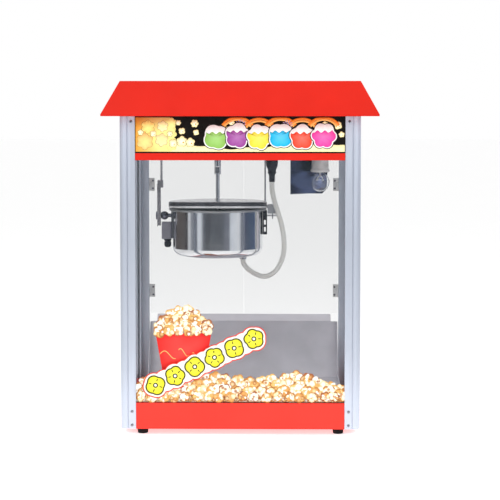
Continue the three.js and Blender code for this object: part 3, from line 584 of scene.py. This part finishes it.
def smooth_route(points, per_point):
    """A Catmull-Rom line through the points."""
    points = [Vector(p) for p in points]
    padded = [2 * points[0] - points[1], *points, 2 * points[-1] - points[-2]]
    line = []
    for a, b, c, d in zip(padded, padded[1:], padded[2:], padded[3:]):
        for i in range(per_point):
            t = i / per_point
            square, cube = 2 * a - 5 * b + 4 * c - d, 3 * b - a - 3 * c + d
            line.append(0.5 * (2 * b + (c - a) * t + square * t ** 2 + cube * t ** 3))
    line.append(points[-1])
    return line


def add_tube(bm, line, radius, sides):
    """A closed tube round a line. Its UVs go once round it, and along it by its own circumference."""
    uv_layer = bm.loops.layers.uv.new("UVMap")
    side = Vector((0, 1, 0))
    rings, travelled, distance = [], [], 0.0
    for index, point in enumerate(line):
        before, after = line[max(index - 1, 0)], line[min(index + 1, len(line) - 1)]
        forward = (after - before).normalized()
        side = (side - forward * side.dot(forward)).normalized()
        up = forward.cross(side)
        distance += (point - before).length
        travelled.append(distance / (2 * math.pi * radius))
        spokes = [side * math.cos(a) + up * math.sin(a) for a in turns_round(sides)]
        rings.append([bm.verts.new(point + radius * spoke) for spoke in spokes])
    for k in range(len(rings) - 1):
        for i in range(sides):
            j = (i + 1) % sides
            face = bm.faces.new((rings[k][i], rings[k][j], rings[k + 1][j], rings[k + 1][i]))
            corners = ((i, k), (i + 1, k), (i + 1, k + 1), (i, k + 1))
            for loop, (around, ring) in zip(face.loops, corners):
                loop[uv_layer].uv = (around / sides, travelled[ring])
    bm.faces.new(reversed(rings[0]))
    bm.faces.new(rings[-1])
    bmesh.ops.recalc_face_normals(bm, faces=bm.faces)


def add_cable():
    line = smooth_route(CABLE_ROUTE, CABLE_RINGS_PER_POINT)
    bm = bmesh.new()
    add_tube(bm, line, CABLE_DIAMETER / 2, CABLE_SIDES)
    cable = place_piece(bm, "kettle_cable_braided", BRAID, "root", weighted=False)
    cable.parent = None
    del cable["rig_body"]
    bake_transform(cable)
    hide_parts("kettle_cable")
    plug = add_plug()


PLUG_BODY = (  # radius and height below the ceiling, in millimetres
    (0, 0), (10.8, 0), (10.8, -24.2), (12.6, -24.2), (12.6, -37), (12.0, -42.5), (8.6, -50), (8.0, -53),
    (9.2, -54.6), (9.2, -57), (6.9, -59.5),
)
PLUG_RIBS = 5
PLUG_RIB_TOP = -60.5
PLUG_RIB_PITCH = 3.1
PLUG_END = ((6.2, -75.9), (0, -75.9))


def add_plug():
    """A moulded plug: body, collar and a ribbed strain relief that tapers towards the cable."""
    low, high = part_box("kettle_plug")
    axis = ((low.x + high.x) / 2, (low.y + high.y) / 2, high.z)
    ribs = []
    for i in range(PLUG_RIBS):
        z = PLUG_RIB_TOP - i * PLUG_RIB_PITCH
        ribs += [(6.9 - 0.1 * i, z), (6.9 - 0.1 * i, z - 1.6), (5.7, z - 1.9), (5.7, z - 2.8)]
    profile = [*PLUG_BODY, *ribs, *PLUG_END]
    plug = turned_piece("kettle_plug_moulded", profile, axis, BLACK, "root", 0.8, 48)
    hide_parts("kettle_plug")
    return plug


# ---- cabinet, roof and base
PLAIN_NODES = (
    ("base_pan", BASE_PAINT, 0.5), ("base_front_panel", BASE_PAINT, 0.7), ("fascia_front", PAINT, 0.6),
    ("fascia_left", PAINT, 0.6), ("fascia_right", PAINT, 0.6), ("control_panel", PAINT, 0.4),
    ("roof_cover", PAINT, 1.0), ("sign_panel", SIGN_BLACK, 0.5), ("ceiling_plate", SATIN, 0.3),
    ("kettle_shell", POLISHED, 0.5), ("kettle_pan", CAST, 0.6), ("heating_element", DARK_STEEL, 0),
    ("lid_strap", (LID_TOP, LID_WALL_REFLECTION), 0.4), ("lid_front", (LID_TOP, LID_WALL_REFLECTION), 0.5),
    ("lid_rear", (LID_TOP, LID_WALL_REFLECTION), 0.5),
    ("agitator", POLISHED, 0.3), ("left_pivot", DARK_STEEL, 0.4), ("tilt_handle", GREY, 1.6),
    ("right_bracket", BLACK, 0.8), ("right_pivot", SATIN, 0.3), ("hanger_plate_left", ROD_STEEL, 0.4),
    ("hanger_rod_left", ROD_STEEL, 0.2), ("hanger_right", BLOCK_GREY, 0.5), ("drive_fork", POLISHED, 0.3),
    ("gear_motor", DARK_STEEL, 0.8), ("kettle_socket", BLACK, 0.5), ("lamp_guard", GUARD_PAINTED_REFLECTION, 0.25),
    ("popcorn_tray", TRAY_STEEL, 0.4), ("cord_gland", BLACK, 0.4), ("rocker_heat", BLACK, 0.4),
    ("rocker_motor", BLACK, 0.4), ("rocker_lamp", BLACK, 0.4),
)
GLASS_NODES = (
    ("front_glass", GLASS), ("left_glass", GLASS), ("right_glass", GLASS), ("door_left", DOOR_GLASS),
    ("door_right", DOOR_GLASS),
)


def add_plain_nodes():
    for node, material, bevel in PLAIN_NODES:
        refine(node, material, bevel)
    for corner, _, _ in CORNERS:
        refine(f"post_{corner}", ANODISED, 0.5)
    for level in ("lower", "upper"):
        for side, _ in SIDES:
            for leaf in ("post", "door"):
                refine(f"hinge_{level}_{side}_{leaf}_leaf", HINGE_STEEL, 0.25)
    for node, glass in GLASS_NODES:
        mesh = NODES[node].data
        mesh.materials.clear()
        mesh.materials.append(glass)


# ---- feet, knobs and lamp
def add_turned(node, profile, base, material, radius, toward=(0, 0, 1)):
    """A turned piece for a node: profile points are in millimetres from base along toward."""
    body = NODES[node]["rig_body"]
    piece = turned_piece(f"{node}_turned", profile, base, material, body, radius, 56, toward)
    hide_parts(node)


# Profiles as shares of the piece's radius and length.
FOOT = ((0, 0), (0.86, 0), (1, 1), (0, 1))
DOOR_KNOB = (
    (0, 0), (0.7, 0), (0.7, 0.08), (0.45, 0.16), (0.45, 0.42), (1, 0.56), (1, 0.86), (0.7, 1), (0.3, 0.95),
    (0, 0.95),
)
HANDLE_KNOB = (
    (0, 0), (0.6, 0), (0.92, 0.2), (0.95, 0.62), (0.78, 0.7), (0.78, 0.78), (1, 0.82), (1, 1), (0, 1),
)
SCREW_HEAD = ((0, 0), (1, 0), (1, 0.35), (0.86, 0.8), (0.5, 1), (0, 1))


def add_feet():
    for corner, _, _ in CORNERS:
        base, radius, height = stand(f"foot_{corner}")
        add_turned(f"foot_{corner}", scaled(FOOT, radius, height), base, RUBBER, 1.6)


def add_door_knobs():
    for side, _ in SIDES:
        node = f"door_knob_{side}"
        low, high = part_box(node)
        profile = scaled(DOOR_KNOB, (high.x - low.x) / 2 / MM, (high.y - low.y) / MM)
        centre = (low + high) / 2
        add_turned(node, profile, (centre.x, low.y, centre.z), BLACK, 1.8, (0, 1, 0))


def add_handle_knob():
    base, radius, height = stand("handle_knob")
    add_turned("handle_knob", scaled(HANDLE_KNOB, radius, height), base, BLACK, 1.4)


BULB_RADIUS = 21
BULB_WALL = 0.7
BULB_NECK = 8.3
BULB_NECK_ANGLE = 66  # where the globe turns into the neck, degrees above its middle
BULB_CAP_BOTTOM = 45.5  # heights above the globe's lowest point
FILAMENT_HEIGHT = 24
FILAMENT_HALF = 7.5
SOCKET_MOUTH = 12.0


def globe(radius, neck, top):
    angles = [math.radians(a) for a in steps_between(-90, BULB_NECK_ANGLE, 6)]
    curve = [(radius * math.cos(a), BULB_RADIUS + radius * math.sin(a)) for a in angles]
    curve[0] = (0, BULB_RADIUS - radius)
    return [*curve, (neck, curve[-1][1] + 4), (neck, top)]


def add_lamp_socket():
    """A ceramic holder with a mouth for the bulb."""
    base, rim, height = stand("lamp_socket")
    mouth = SOCKET_MOUTH
    profile = [
        (0, 10), (mouth - 1, 10), (mouth, 0.8), (mouth + 1.5, 0), (rim - 1.2, 0), (rim, 1.5), (rim, 5.5),
        (rim - 1.6, 7.5), (rim - 2.8, height), (0, height),
    ]
    add_turned("lamp_socket", profile, base, CERAMIC, 0.9)


def add_filament(base):
    """Two leads and an arched wire between them. The leads are thick and near white: real wire that also
    serves as a painted highlight.
    """
    bm = bmesh.new()
    for sx in (-1, 1):
        lead = [(sx * 1.4, 34), (sx * 5.0, 31), (sx * 7.4, FILAMENT_HEIGHT)]
        add_tube(bm, [base + Vector((x, 0, z)) * MM for x, z in lead], 0.9 * MM, 8)
    xs = steps_between(-FILAMENT_HALF, FILAMENT_HALF, 1)
    arch = [(x, FILAMENT_HEIGHT + 1.6 * math.cos(x * math.pi / 15)) for x in xs]
    add_tube(bm, [base + Vector((x, 0, z)) * MM for x, z in arch], 0.5 * MM, 8)
    return place_piece(bm, "lamp_bulb_filament", HINGE_STEEL, "root")


def add_lamp_bulb():
    """A clear thin-walled globe with a screw cap, a stem and a filament."""
    base, _, top = stand("lamp_bulb")
    outside = globe(BULB_RADIUS, BULB_NECK, BULB_CAP_BOTTOM)
    inside = globe(BULB_RADIUS - BULB_WALL, BULB_NECK - BULB_WALL, BULB_CAP_BOTTOM)
    bm = bmesh.new()
    spin(bm, mm_points(outside + inside[::-1]), 64, Matrix.Translation(base))
    glass = place_piece(bm, "lamp_bulb_glass", BULB_GLASS, "root")
    neck, under = BULB_NECK, BULB_CAP_BOTTOM
    cap = [(0, under), (neck, under), (neck, top - 1), (neck - 2, top), (0, top)]
    screw_cap = turned_piece("lamp_bulb_cap", cap, base, ZINC, "root", 0.5, 40)
    stem = [(0, 31), (1.6, 31), (1.4, 36), (3.4, BULB_CAP_BOTTOM), (0, BULB_CAP_BOTTOM)]
    foot = turned_piece("lamp_bulb_stem", stem, base, CERAMIC, "root", 0.5, 24)
    for piece in (glass, screw_cap, foot, add_filament(base)):
        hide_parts("lamp_bulb")


# ---- printed artwork
INK_STEP = 0.000004  # each shape lies this far in front of the one before it
BLACK_INK = (0.01, 0.008, 0.008)
WHITE_INK = (0.93, 0.92, 0.9)
CREAM_INK = (0.93, 0.8, 0.28)
PALE_INK = (0.97, 0.9, 0.47)
AMBER_INK = (0.8, 0.36, 0.04)
OUTLINE_INK = (0.25, 0.13, 0.03)
BLOB_OUTLINE_INK = (0.2, 0.12, 0.03)
BLOB_INKS = ((0.97, 0.86, 0.42), (0.99, 0.96, 0.75))  # rim and middle
ORANGE_INK = (0.86, 0.21, 0.02)
PALE_ORANGE_INK = (0.93, 0.4, 0.1)
STAR_INK = (0.55, 0.38, 0.6)
STAR_HEART_INK = (0.5, 0.34, 0.55)
RED_INK = (0.86, 0.035, 0.02)
YELLOW_INK = (0.9, 0.84, 0.03)
PUFF_INKS = (
    (0.28, 0.55, 0.1), (0.34, 0.06, 0.33), (0.88, 0.72, 0.04), (0.0, 0.48, 0.8), (0.86, 0.06, 0.02),
    (0.86, 0.05, 0.36),
)


def polar(x, z, radius, angle):
    return x + radius * math.cos(angle), z + radius * math.sin(angle)


class Print:
    """Flat ink shapes on a wall that faces -Y, in millimetres. Each lies over those drawn before it."""

    def __init__(self, surface_y):
        self.surface_y = surface_y
        self.depth = 3
        self.bm = bmesh.new()
        self.ink = self.bm.loops.layers.float_color.new("ink")

    def slab(self, front, faces, colors):
        """front: (x, z) corners; faces: indices, anticlockwise as seen; colors: one for each corner."""
        y = self.surface_y - INK_STEP * self.depth
        self.depth += 1
        near = [self.bm.verts.new((x * MM, y, z * MM)) for x, z in front]
        far = [self.bm.verts.new((x * MM, y + INK_STEP / 2, z * MM)) for x, z in front]
        edges = set()
        made = []
        for face in faces:
            made.append((self.bm.faces.new([near[i] for i in face]), face))
            made.append((self.bm.faces.new([far[i] for i in reversed(face)]), tuple(reversed(face))))
            edges |= {(a, b) for a, b in zip(face, face[1:] + face[:1])}
        for a, b in sorted(edges):
            if (b, a) not in edges:
                made.append((self.bm.faces.new([near[b], near[a], far[a], far[b]]), (b, a, a, b)))
        for face, corners in made:
            for loop, corner in zip(face.loops, corners):
                loop[self.ink] = (*colors[corner], 1)

    def shape(self, outline, color, centre=None, middle_color=None):
        """A closed shape whose centre sees its whole outline, as a fan."""
        if centre is None:
            centre = (sum(p[0] for p in outline) / len(outline), sum(p[1] for p in outline) / len(outline))
        count = len(outline)
        faces = [(count, i, (i + 1) % count) for i in range(count)]
        self.slab([*outline, centre], faces, [color] * count + [middle_color or color])

    def disc(self, x, z, radius, color, middle_color=None, sides=28):
        self.shape([polar(x, z, radius, a) for a in turns_round(sides)], color, (x, z), middle_color)

    def puff(self, x, z, radius, lobes, turn, grow, color, middle_color=None, cut=None, dip=0.24):
        """A cloud-like shape with round lobes; cut, a height for each x, removes what is above it."""
        outline = []
        for a in turns_round(lobes * 12):
            r = radius * (1 - dip + dip * abs(math.sin(lobes * a / 2 + turn))) + grow
            px, pz = polar(x, z, r, a)
            outline.append((px, min(pz, cut(px)) if cut else pz))
        self.shape(outline, color, (x, min(z, cut(x) - 0.5) if cut else z), middle_color)

    def strip(self, lower, upper, colors):
        """A band between two lines of as many points, with a colour at each pair of points."""
        count = len(lower)
        faces = [(i, i + 1, count + i + 1, count + i) for i in range(count - 1)]
        self.slab([*lower, *upper], faces, [*colors, *colors])

    def ribbon(self, points, width, color):
        """A line of even width through the points."""
        lower, upper = [], []
        for index, (x, z) in enumerate(points):
            x0, z0 = points[max(index - 1, 0)]
            x1, z1 = points[min(index + 1, len(points) - 1)]
            length = math.hypot(x1 - x0, z1 - z0)
            nx, nz = -(z1 - z0) / length * width / 2, (x1 - x0) / length * width / 2
            lower.append((x - nx, z - nz))
            upper.append((x + nx, z + nz))
        self.strip(lower, upper, [color] * len(points))

    def finish(self, name, material):
        place_piece(self.bm, name, material, "root", weighted=False)


def steps_between(start, end, step):
    count = max(1, round(abs(end - start) / step))
    return [start + (end - start) * i / count for i in range(count + 1)]


def mixed(a, b, t):
    return tuple(x + (y - x) * min(max(t, 0), 1) for x, y in zip(a, b))


CORNER_SHARE = 0.165  # of the sign's width, for the golden corner
CORNER_PUFFS = (  # place as shares of the sign, radius, colour
    (0.045, 0.3, 17, (0.96, 0.62, 0.22)), (0.125, 0.34, 13, (0.97, 0.8, 0.4)),
    (0.06, 0.72, 14, (0.96, 0.7, 0.2)), (0.13, 0.74, 11, (0.98, 0.88, 0.46)),
)
CORNER_EDGE = (0.1, 0.3, 0.52, 0.72, 0.88)  # heights of the puffs that end it
BLOBS = (  # loose popcorn: place as shares of the sign, radius
    (0.085, 0.52, 6.5), (0.024, 0.56, 6), (0.165, 0.52, 6), (0.18, 0.24, 8.5), (0.222, 0.3, 11),
    (0.205, 0.84, 5.5), (0.222, 0.6, 7), (0.262, 0.27, 9.5), (0.283, 0.82, 8), (0.29, 0.56, 6),
    (0.905, 0.8, 6), (0.935, 0.62, 6), (0.968, 0.76, 8), (0.985, 0.5, 6), (0.46, 0.84, 6),
    (0.44, 0.68, 4),
)
PUFFS = (
    (0.385, 0.42, 26), (0.488, 0.46, 26), (0.591, 0.42, 26), (0.694, 0.46, 26), (0.797, 0.42, 26),
    (0.9, 0.46, 26),
)
STARS = ((0.503, 0.8), (0.727, 0.78))
STAR_RAYS = 12


class Field:
    """The printed field of the sign, in millimetres."""

    def __init__(self, low, high):
        self.left, self.right = low.x / MM + 1.2, high.x / MM - 1.2
        self.bottom, self.top = low.z / MM + 2.6, high.z / MM - 2.0
        self.width, self.height = self.right - self.left, self.top - self.bottom

    def place(self, u, v):
        return self.left + u * self.width, self.bottom + v * self.height

    def fitted(self, u, v, radius):
        """A place and the radius that stays clear of the upper and lower edge there."""
        x, z = self.place(u, v)
        return x, z, min(radius, self.top - 2.6 - z, z - self.bottom - 2.0)


def draw_ground(art, field):
    """A pale strip along the lower edge, with a wavy top."""
    xs = steps_between(field.left, field.right, 3.5)
    hill = []
    for x in xs:
        along = x - field.left
        share = 0.18 + 0.09 * math.sin(along * 0.021 + 0.4) + 0.03 * math.sin(along * 0.09)
        hill.append(field.bottom + field.height * share)
    art.strip([(x, field.bottom) for x in xs], list(zip(xs, hill)), [PALE_INK] * len(xs))


def draw_corner(art, field):
    """A golden left end that closes in puffs."""
    corner_end = field.left + CORNER_SHARE * field.width
    xs = steps_between(field.left, corner_end, 4)
    inks = [mixed(AMBER_INK, CREAM_INK, (x - field.left) / 48) for x in xs]
    art.strip([(x, field.bottom) for x in xs], [(x, field.top - 0.4) for x in xs], inks)
    for index, v in enumerate(CORNER_EDGE):
        reach = 11 + 3 * (index % 2)
        x = corner_end + 3 - 4 * (index % 2)
        z = min(field.bottom + v * field.height, field.top - reach - 0.5)
        art.puff(x, max(z, field.bottom + reach + 0.5), reach, 5, index, 0, CREAM_INK)
    for u, v, radius, ink in CORNER_PUFFS:
        x, z = field.place(u, v)
        art.puff(x, z, radius, 6, 3 * u, 0.6, OUTLINE_INK)
        art.puff(x, z, radius, 6, 3 * u, 0, ink, mixed(ink, CREAM_INK, 0.6))


def draw_blobs(art, field):
    for index, (u, v, radius) in enumerate(BLOBS):
        x, z = field.place(u, v)
        lobes = 4 + index % 3
        art.puff(x, z, radius, lobes, index, 0.6, BLOB_OUTLINE_INK)
        art.puff(x, z, radius, lobes, index, 0, *BLOB_INKS)
        art.disc(x + radius * 0.25, z - radius * 0.2, radius * 0.16, AMBER_INK, sides=10)


def draw_arcs(art, field):
    """Two orange arcs over each coloured puff but the first."""
    turns = [math.radians(35 + 10 * k) for k in range(12)]
    for x, z, radius in [field.fitted(*puff) for puff in PUFFS[1:]]:
        for ring, ink in ((1.45, ORANGE_INK), (1.27, PALE_ORANGE_INK)):
            line = [polar(x, z, ring * radius, a) for a in turns]
            art.ribbon([(px, min(pz, field.top - 2.6)) for px, pz in line], 4.4, ink)


def draw_stars(art, field):
    for u, v in STARS:
        x, z = field.place(u, v)
        for a in turns_round(STAR_RAYS):
            ends = [polar(x, z, r, a) for r in (5.2, 10.5)]
            art.ribbon([(px, min(pz, field.top - 1)) for px, pz in ends], 1.4, STAR_INK)
        art.disc(x, z, 3.8, STAR_HEART_INK, WHITE_INK, sides=16)


def draw_puff(art, index, x, z, radius):
    """A puff with a black and a white outline, white above a wavy line and coloured below it."""
    lobes, turn = 4 + index % 3, 0.9 * index + 0.4
    art.puff(x, z, radius, lobes, turn, 2.4, BLACK_INK, dip=0.16)
    art.puff(x, z, radius, lobes, turn, 0.8, WHITE_INK, dip=0.16)
    level = z + radius * 0.34

    def drip(px):
        return level + 2.4 * math.sin(0.42 * px + index)

    ink = PUFF_INKS[index]
    art.puff(x, z, radius, lobes, turn, -1.6, ink, mixed(ink, WHITE_INK, 0.12), drip, dip=0.16)


def add_sign():
    """A dark sign with a pale wavy ground, a golden corner, loose popcorn and a row of coloured puffs."""
    low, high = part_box("sign_panel")
    field = Field(low, high)
    art = Print(low.y)
    for draw in (draw_ground, draw_corner, draw_blobs, draw_arcs, draw_stars):
        draw(art, field)
    for index, puff in enumerate(PUFFS):
        draw_puff(art, index, *field.fitted(*puff))
    art.finish("sign_artwork", PRINT)


TOASTED = ((0.5, 0.2, 0.05), (0.68, 0.33, 0.09), (0.38, 0.13, 0.05), (0.78, 0.46, 0.14))
LOBE_EDGES = ((0.8, 0.5, 0.18), (0.88, 0.66, 0.32), (0.92, 0.78, 0.5), (0.9, 0.86, 0.76))
LOBE_MIDDLES = ((1.0, 0.98, 0.93), (0.98, 0.94, 0.84), (0.97, 0.97, 0.98), (0.96, 0.86, 0.62))
TOASTED_LOBES = ((0.84, 0.54, 0.2), (0.9, 0.7, 0.38), (0.72, 0.36, 0.12))


def popped(art, chance, x, z, size):
    """One popped kernel: a toasted heart, lobes round it that are cream or caramel, and highlights."""
    toast = chance.choice(TOASTED)
    art.puff(x, z, size, 5, chance.uniform(0, 3), 0, toast, shade(toast, 1.5), dip=0.2)
    turn = chance.uniform(0, math.pi)
    browned = chance.random() < 0.3
    for lobe in range(6):
        a = turn + lobe * math.pi / 3 + chance.uniform(-0.4, 0.4)
        px, pz = polar(x, z, size * chance.uniform(0.35, 0.66), a)
        toasted = chance.random() < (0.6 if browned else 0.18)
        middle = chance.choice(TOASTED_LOBES if toasted else LOBE_MIDDLES)
        edge = chance.choice(TOASTED if toasted else LOBE_EDGES)
        art.puff(px, pz, size * chance.uniform(0.32, 0.52), 3, 5 * a, 0, edge, middle, dip=0.2)
    for _ in range(3):
        a, reach = chance.uniform(0, 2 * math.pi), size * chance.uniform(0.1, 0.6)
        px, pz = polar(x, z, reach, a)
        bright = chance.random() < 0.6
        ink = (1.0, 1.0, 0.98) if bright else toast
        art.disc(px, pz, size * chance.uniform(0.12, 0.24), mixed(ink, (0.9, 0.8, 0.6), 0.4), ink, sides=9)


STICKER_SEED = 4
CARTON_TOP = (-173, -59)  # its two upper corners, in millimetres from the middle
CARTON_BOTTOM = (-159, -72)
CARTON_HEIGHT = (62, 142)  # above the lower edge of the print
CARTON_INKS = ((0.9, 0.035, 0.03), (0.93, 0.06, 0.05))  # rim and middle
CARTON_WAVES = ((-164, -132, 0.2, 0), (-126, -104, 0.7, 5), (-98, -84, 0.9, -3))  # from, to, phase, lift
CARTON_WAVE_HEIGHT = 97
CARTON_WAVE_INK = (0.97, 0.5, 0.16)
HEAP_ROWS = ((1.0, 6), (1.02, 6), (0.86, 5), (0.6, 4), (0.3, 2))  # share of the carton's width, kernels
HEAP_PITCH = 10.6
PILE_TOP = 58
PILE_ROWS = 4
PILE_COUNT = 18
PILE_INK = (0.9, 0.76, 0.52)
SASH_START = (-173, 35)  # first puff of the sash, from the middle and above the lower edge
SASH_STEP = (40.2, 19.2)
SASH_PUFFS = 6
SASH_RADIUS = 21.5
SASH_DARK = (0.045, 0.055, 0.012)
SASH_PALE = (0.96, 0.93, 0.84)


def add_carton(art, chance, base):
    top_left, top_right = CARTON_TOP
    bottom_left, bottom_right = CARTON_BOTTOM
    low, high = (base + h for h in CARTON_HEIGHT)
    corners = [(bottom_left, low), (bottom_right, low), (top_right, high), (top_left, high)]
    rim_ink, middle_ink = CARTON_INKS
    art.shape(corners, rim_ink, middle_color=middle_ink)
    for start, end, phase, lift in CARTON_WAVES:
        xs = steps_between(start, end, 2.4)
        wave = [lift + 8 * math.sin((x - start) / (end - start) * 4.8 + phase) for x in xs]
        line = [(x, base + CARTON_WAVE_HEIGHT + h) for x, h in zip(xs, wave)]
        art.ribbon(line, 1.5, CARTON_WAVE_INK)
    middle = (top_left + top_right) / 2
    half = (top_right - top_left) / 2
    for row, (share, count) in reversed(list(enumerate(HEAP_ROWS))):
        for i in range(count):
            x = middle + half * share * (2 * (i + 0.5) / count - 1) + chance.uniform(-2, 2)
            z = high + 4 + row * HEAP_PITCH + chance.uniform(-2, 2)
            popped(art, chance, x, z, chance.uniform(11, 14))


def add_pile(art, chance, base, half):
    """Rows of kernels from the crest down, over a row of small ones along the lower edge."""
    def crest(x):
        return PILE_TOP - 24 * max(0.0, abs(x) / half - 0.8) / 0.2 - 6 * math.sin(x * 0.04 + 0.6)

    xs = steps_between(-half + 8, half - 8, 6)
    art.strip([(x, base) for x in xs], [(x, base + crest(x) - 22) for x in xs], [PILE_INK] * len(xs))
    for i in range(2 * PILE_COUNT):
        x = -half + 8 + (2 * half - 16) * i / (2 * PILE_COUNT - 1)
        popped(art, chance, x, base + 7.2, 7)
    for row in reversed(range(PILE_ROWS)):
        for i in range(PILE_COUNT):
            along = (2 * half - 26) * (i + 0.5 * (row % 2)) / (PILE_COUNT - 0.5)
            x = -half + 13 + along + chance.uniform(-3, 3)
            z = base + 11 + (crest(x) - 24) * row / (PILE_ROWS - 1) + chance.uniform(-2, 2)
            popped(art, chance, x, z, chance.uniform(11.5, 15) if row else 11)


def add_sash(art, base):
    """A slanted pale sash with a red edge and a row of yellow puffs on it."""
    start_x, start_z = SASH_START
    step_x, step_z = SASH_STEP
    places = [(start_x + step_x * i, base + start_z + step_z * i) for i in range(SASH_PUFFS)]
    for grow, ink in ((5.6, RED_INK), (3.6, SASH_PALE)):
        for (x0, z0), (x1, z1) in zip(places, places[1:]):
            art.disc((x0 + x1) / 2, (z0 + z1) / 2, SASH_RADIUS * 0.86 + grow, ink)
        for index, (x, z) in enumerate(places):
            art.puff(x, z, SASH_RADIUS, 4, 0.6 + 0.5 * index, grow, ink, dip=0.1)
    for index, (x, z) in enumerate(places):
        lobes, turn = 4 + index % 2, 0.6 + 0.5 * index
        art.puff(x, z, SASH_RADIUS, lobes, turn, 0, SASH_DARK, dip=0.14)
        art.puff(x, z, SASH_RADIUS, lobes, turn, -2.8, YELLOW_INK, (0.93, 0.9, 0.08), dip=0.14)
        for crease in range(lobes):
            a = 2 * (crease * math.pi - turn) / lobes
            art.ribbon([polar(x, z, r, a) for r in (8.5, 11, 14)], 2.0, SASH_DARK)
        art.disc(x, z, SASH_RADIUS * 0.25, SASH_DARK, sides=18)
        art.disc(x, z, SASH_RADIUS * 0.13, WHITE_INK, sides=16)


def add_sticker():
    """A print on the front glass: a heap of popcorn, a red carton that overflows, and a sash of puffs."""
    low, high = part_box("front_glass")
    art = Print(low.y)
    chance = random.Random(STICKER_SEED)
    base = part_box("base_front_panel")[1].z / MM + 0.8
    add_carton(art, chance, base)
    add_pile(art, chance, base, high.x / MM - 3)
    add_sash(art, base)
    art.finish("glass_sticker", STICKER)


# ---- screws and small fittings
SCREW_ROUNDING = math.radians(50)  # a screw's edges that turn less are shaded round


def cut_cross(mesh, radius, height):
    """The mesh with a cross sunk into the top of its head."""
    head = new_object(mesh.name, mesh)
    arm, reach = radius * 0.13, radius * 0.62
    sink = height * 0.55
    cutters = []
    for wide, deep in ((reach, arm), (arm, reach)):
        bm = bmesh.new()
        bmesh.ops.create_cube(bm, size=1)
        size = Vector((2 * wide, 2 * deep, 2 * height)) * MM
        place = Matrix.Translation((0, 0, (sink + height) * MM)) @ Matrix.Diagonal((*size, 1))
        bmesh.ops.transform(bm, matrix=place, verts=bm.verts)
        cutter = new_object("cross_arm", mesh_from(bm, "cross_arm"))
        cutters.append(cutter)
        boolean = head.modifiers.new("cross", "BOOLEAN")
        boolean.operation = "DIFFERENCE"
        boolean.object = cutter
    bpy.context.view_layer.update()
    shaped = head.evaluated_get(bpy.context.evaluated_depsgraph_get())
    result = bpy.data.meshes.new_from_object(shaped)
    for item in (head, *cutters):
        bpy.data.objects.remove(item)
    return result


def screw_mesh(name, radius, height, material, cross=True):
    """A pan-head screw at the origin, its head towards +Z; radius and height are in millimetres."""
    bm = bmesh.new()
    spin(bm, mm_points(scaled(SCREW_HEAD, radius, height)), 24)
    mesh = mesh_from(bm, name)
    if cross:
        mesh = cut_cross(mesh, radius, height)
    bm = bmesh.new()
    bm.from_mesh(mesh)
    set_edges(bm, SCREW_ROUNDING)
    bm.to_mesh(mesh)
    bm.free()
    mesh.materials.clear()
    mesh.materials.append(material)
    return mesh


def add_screw(name, mesh, place, toward, body="root"):
    screw = new_object(name, mesh)
    screw.matrix_world = standing(place, toward)
    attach(screw, body)


POST_SCREW_HEIGHTS = (20 * MM, 48 * MM, 640 * MM)
POST_SCREW_INSET = 8 * MM  # from the flange's inner edge
FLANGE_SINK = 1.2 * MM  # flanges sit back from the round corner by this much
LEAF_SCREW_INSET = 3.6 * MM  # from the leaf's outer edge
LEAF_THICKNESS = 1.5 * MM
LEAF_SCREW_SHARES = (0.2, 0.8)  # of the leaf's height
ROOF_RIVET_INSET = (10.5 * MM, 11.5 * MM)  # from the roof's widest outline
ROOF_RIVET_RISE = 19 * MM


def add_post_screws():
    mesh = screw_mesh("post_screw", 2.9, 1.6, ZINC)
    for corner, sx, sy in CORNERS:
        low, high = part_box(f"post_{corner}")
        inner_x, outer_x = (low.x, high.x) if sx > 0 else (high.x, low.x)
        inner_y, outer_y = (low.y, high.y) if sy > 0 else (high.y, low.y)
        for level, z in enumerate(POST_SCREW_HEIGHTS):
            name = f"post_screw_{corner}_{level}"
            x = inner_x + sx * POST_SCREW_INSET
            add_screw(name, mesh, (x, outer_y - sy * FLANGE_SINK, z), (0, sy, 0))
            y = inner_y + sy * POST_SCREW_INSET
            add_screw(f"{name}_side", mesh, (outer_x - sx * FLANGE_SINK, y, z), (sx, 0, 0))


def add_leaf_screws(mesh, level, side, sx, leaf):
    """Two screws near the edge away from the pin; those of a door leaf show inside too."""
    body = "root" if leaf == "post" else f"door_{side}"
    low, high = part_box(f"hinge_{level}_{side}_{leaf}_leaf")
    at_high = (leaf == "post") == (sx > 0)
    x = high.x - LEAF_SCREW_INSET if at_high else low.x + LEAF_SCREW_INSET
    for row, share in enumerate(LEAF_SCREW_SHARES):
        z = low.z + share * (high.z - low.z)
        name = f"hinge_screw_{level}_{side}_{leaf}_{row}"
        add_screw(name, mesh, (x, low.y + LEAF_THICKNESS, z), (0, 1, 0), body)
        if leaf == "door":
            door_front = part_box(f"door_{side}")[0].y
            add_screw(f"{name}_inside", mesh, (x, door_front, z), (0, -1, 0), body)


def add_hinge_screws():
    mesh = screw_mesh("hinge_screw", 2.2, 1.2, DARK_STEEL)
    for level in ("lower", "upper"):
        for side, sx in SIDES:
            for leaf in ("post", "door"):
                add_leaf_screws(mesh, level, side, sx, leaf)


def add_roof_rivets():
    mesh = screw_mesh("rivet", 2.0, 0.9, SATIN, cross=False)
    low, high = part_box("roof_cover")
    inset_x, inset_y = ROOF_RIVET_INSET
    half_width = (high.x - low.x) / 2
    for corner, sx, sy in CORNERS:
        place = (sx * (half_width - inset_x), sy * (high.y - inset_y), low.z + ROOF_RIVET_RISE)
        add_screw(f"roof_rivet_{corner}", mesh, place, (0, sy, 0.5))


add_camera()
add_studio()
add_floor()
add_cable()
add_plain_nodes()
add_feet()
add_door_knobs()
add_handle_knob()
add_lamp_socket()
add_lamp_bulb()
add_sign()
add_sticker()
add_post_screws()
add_hinge_screws()
add_roof_rivets()
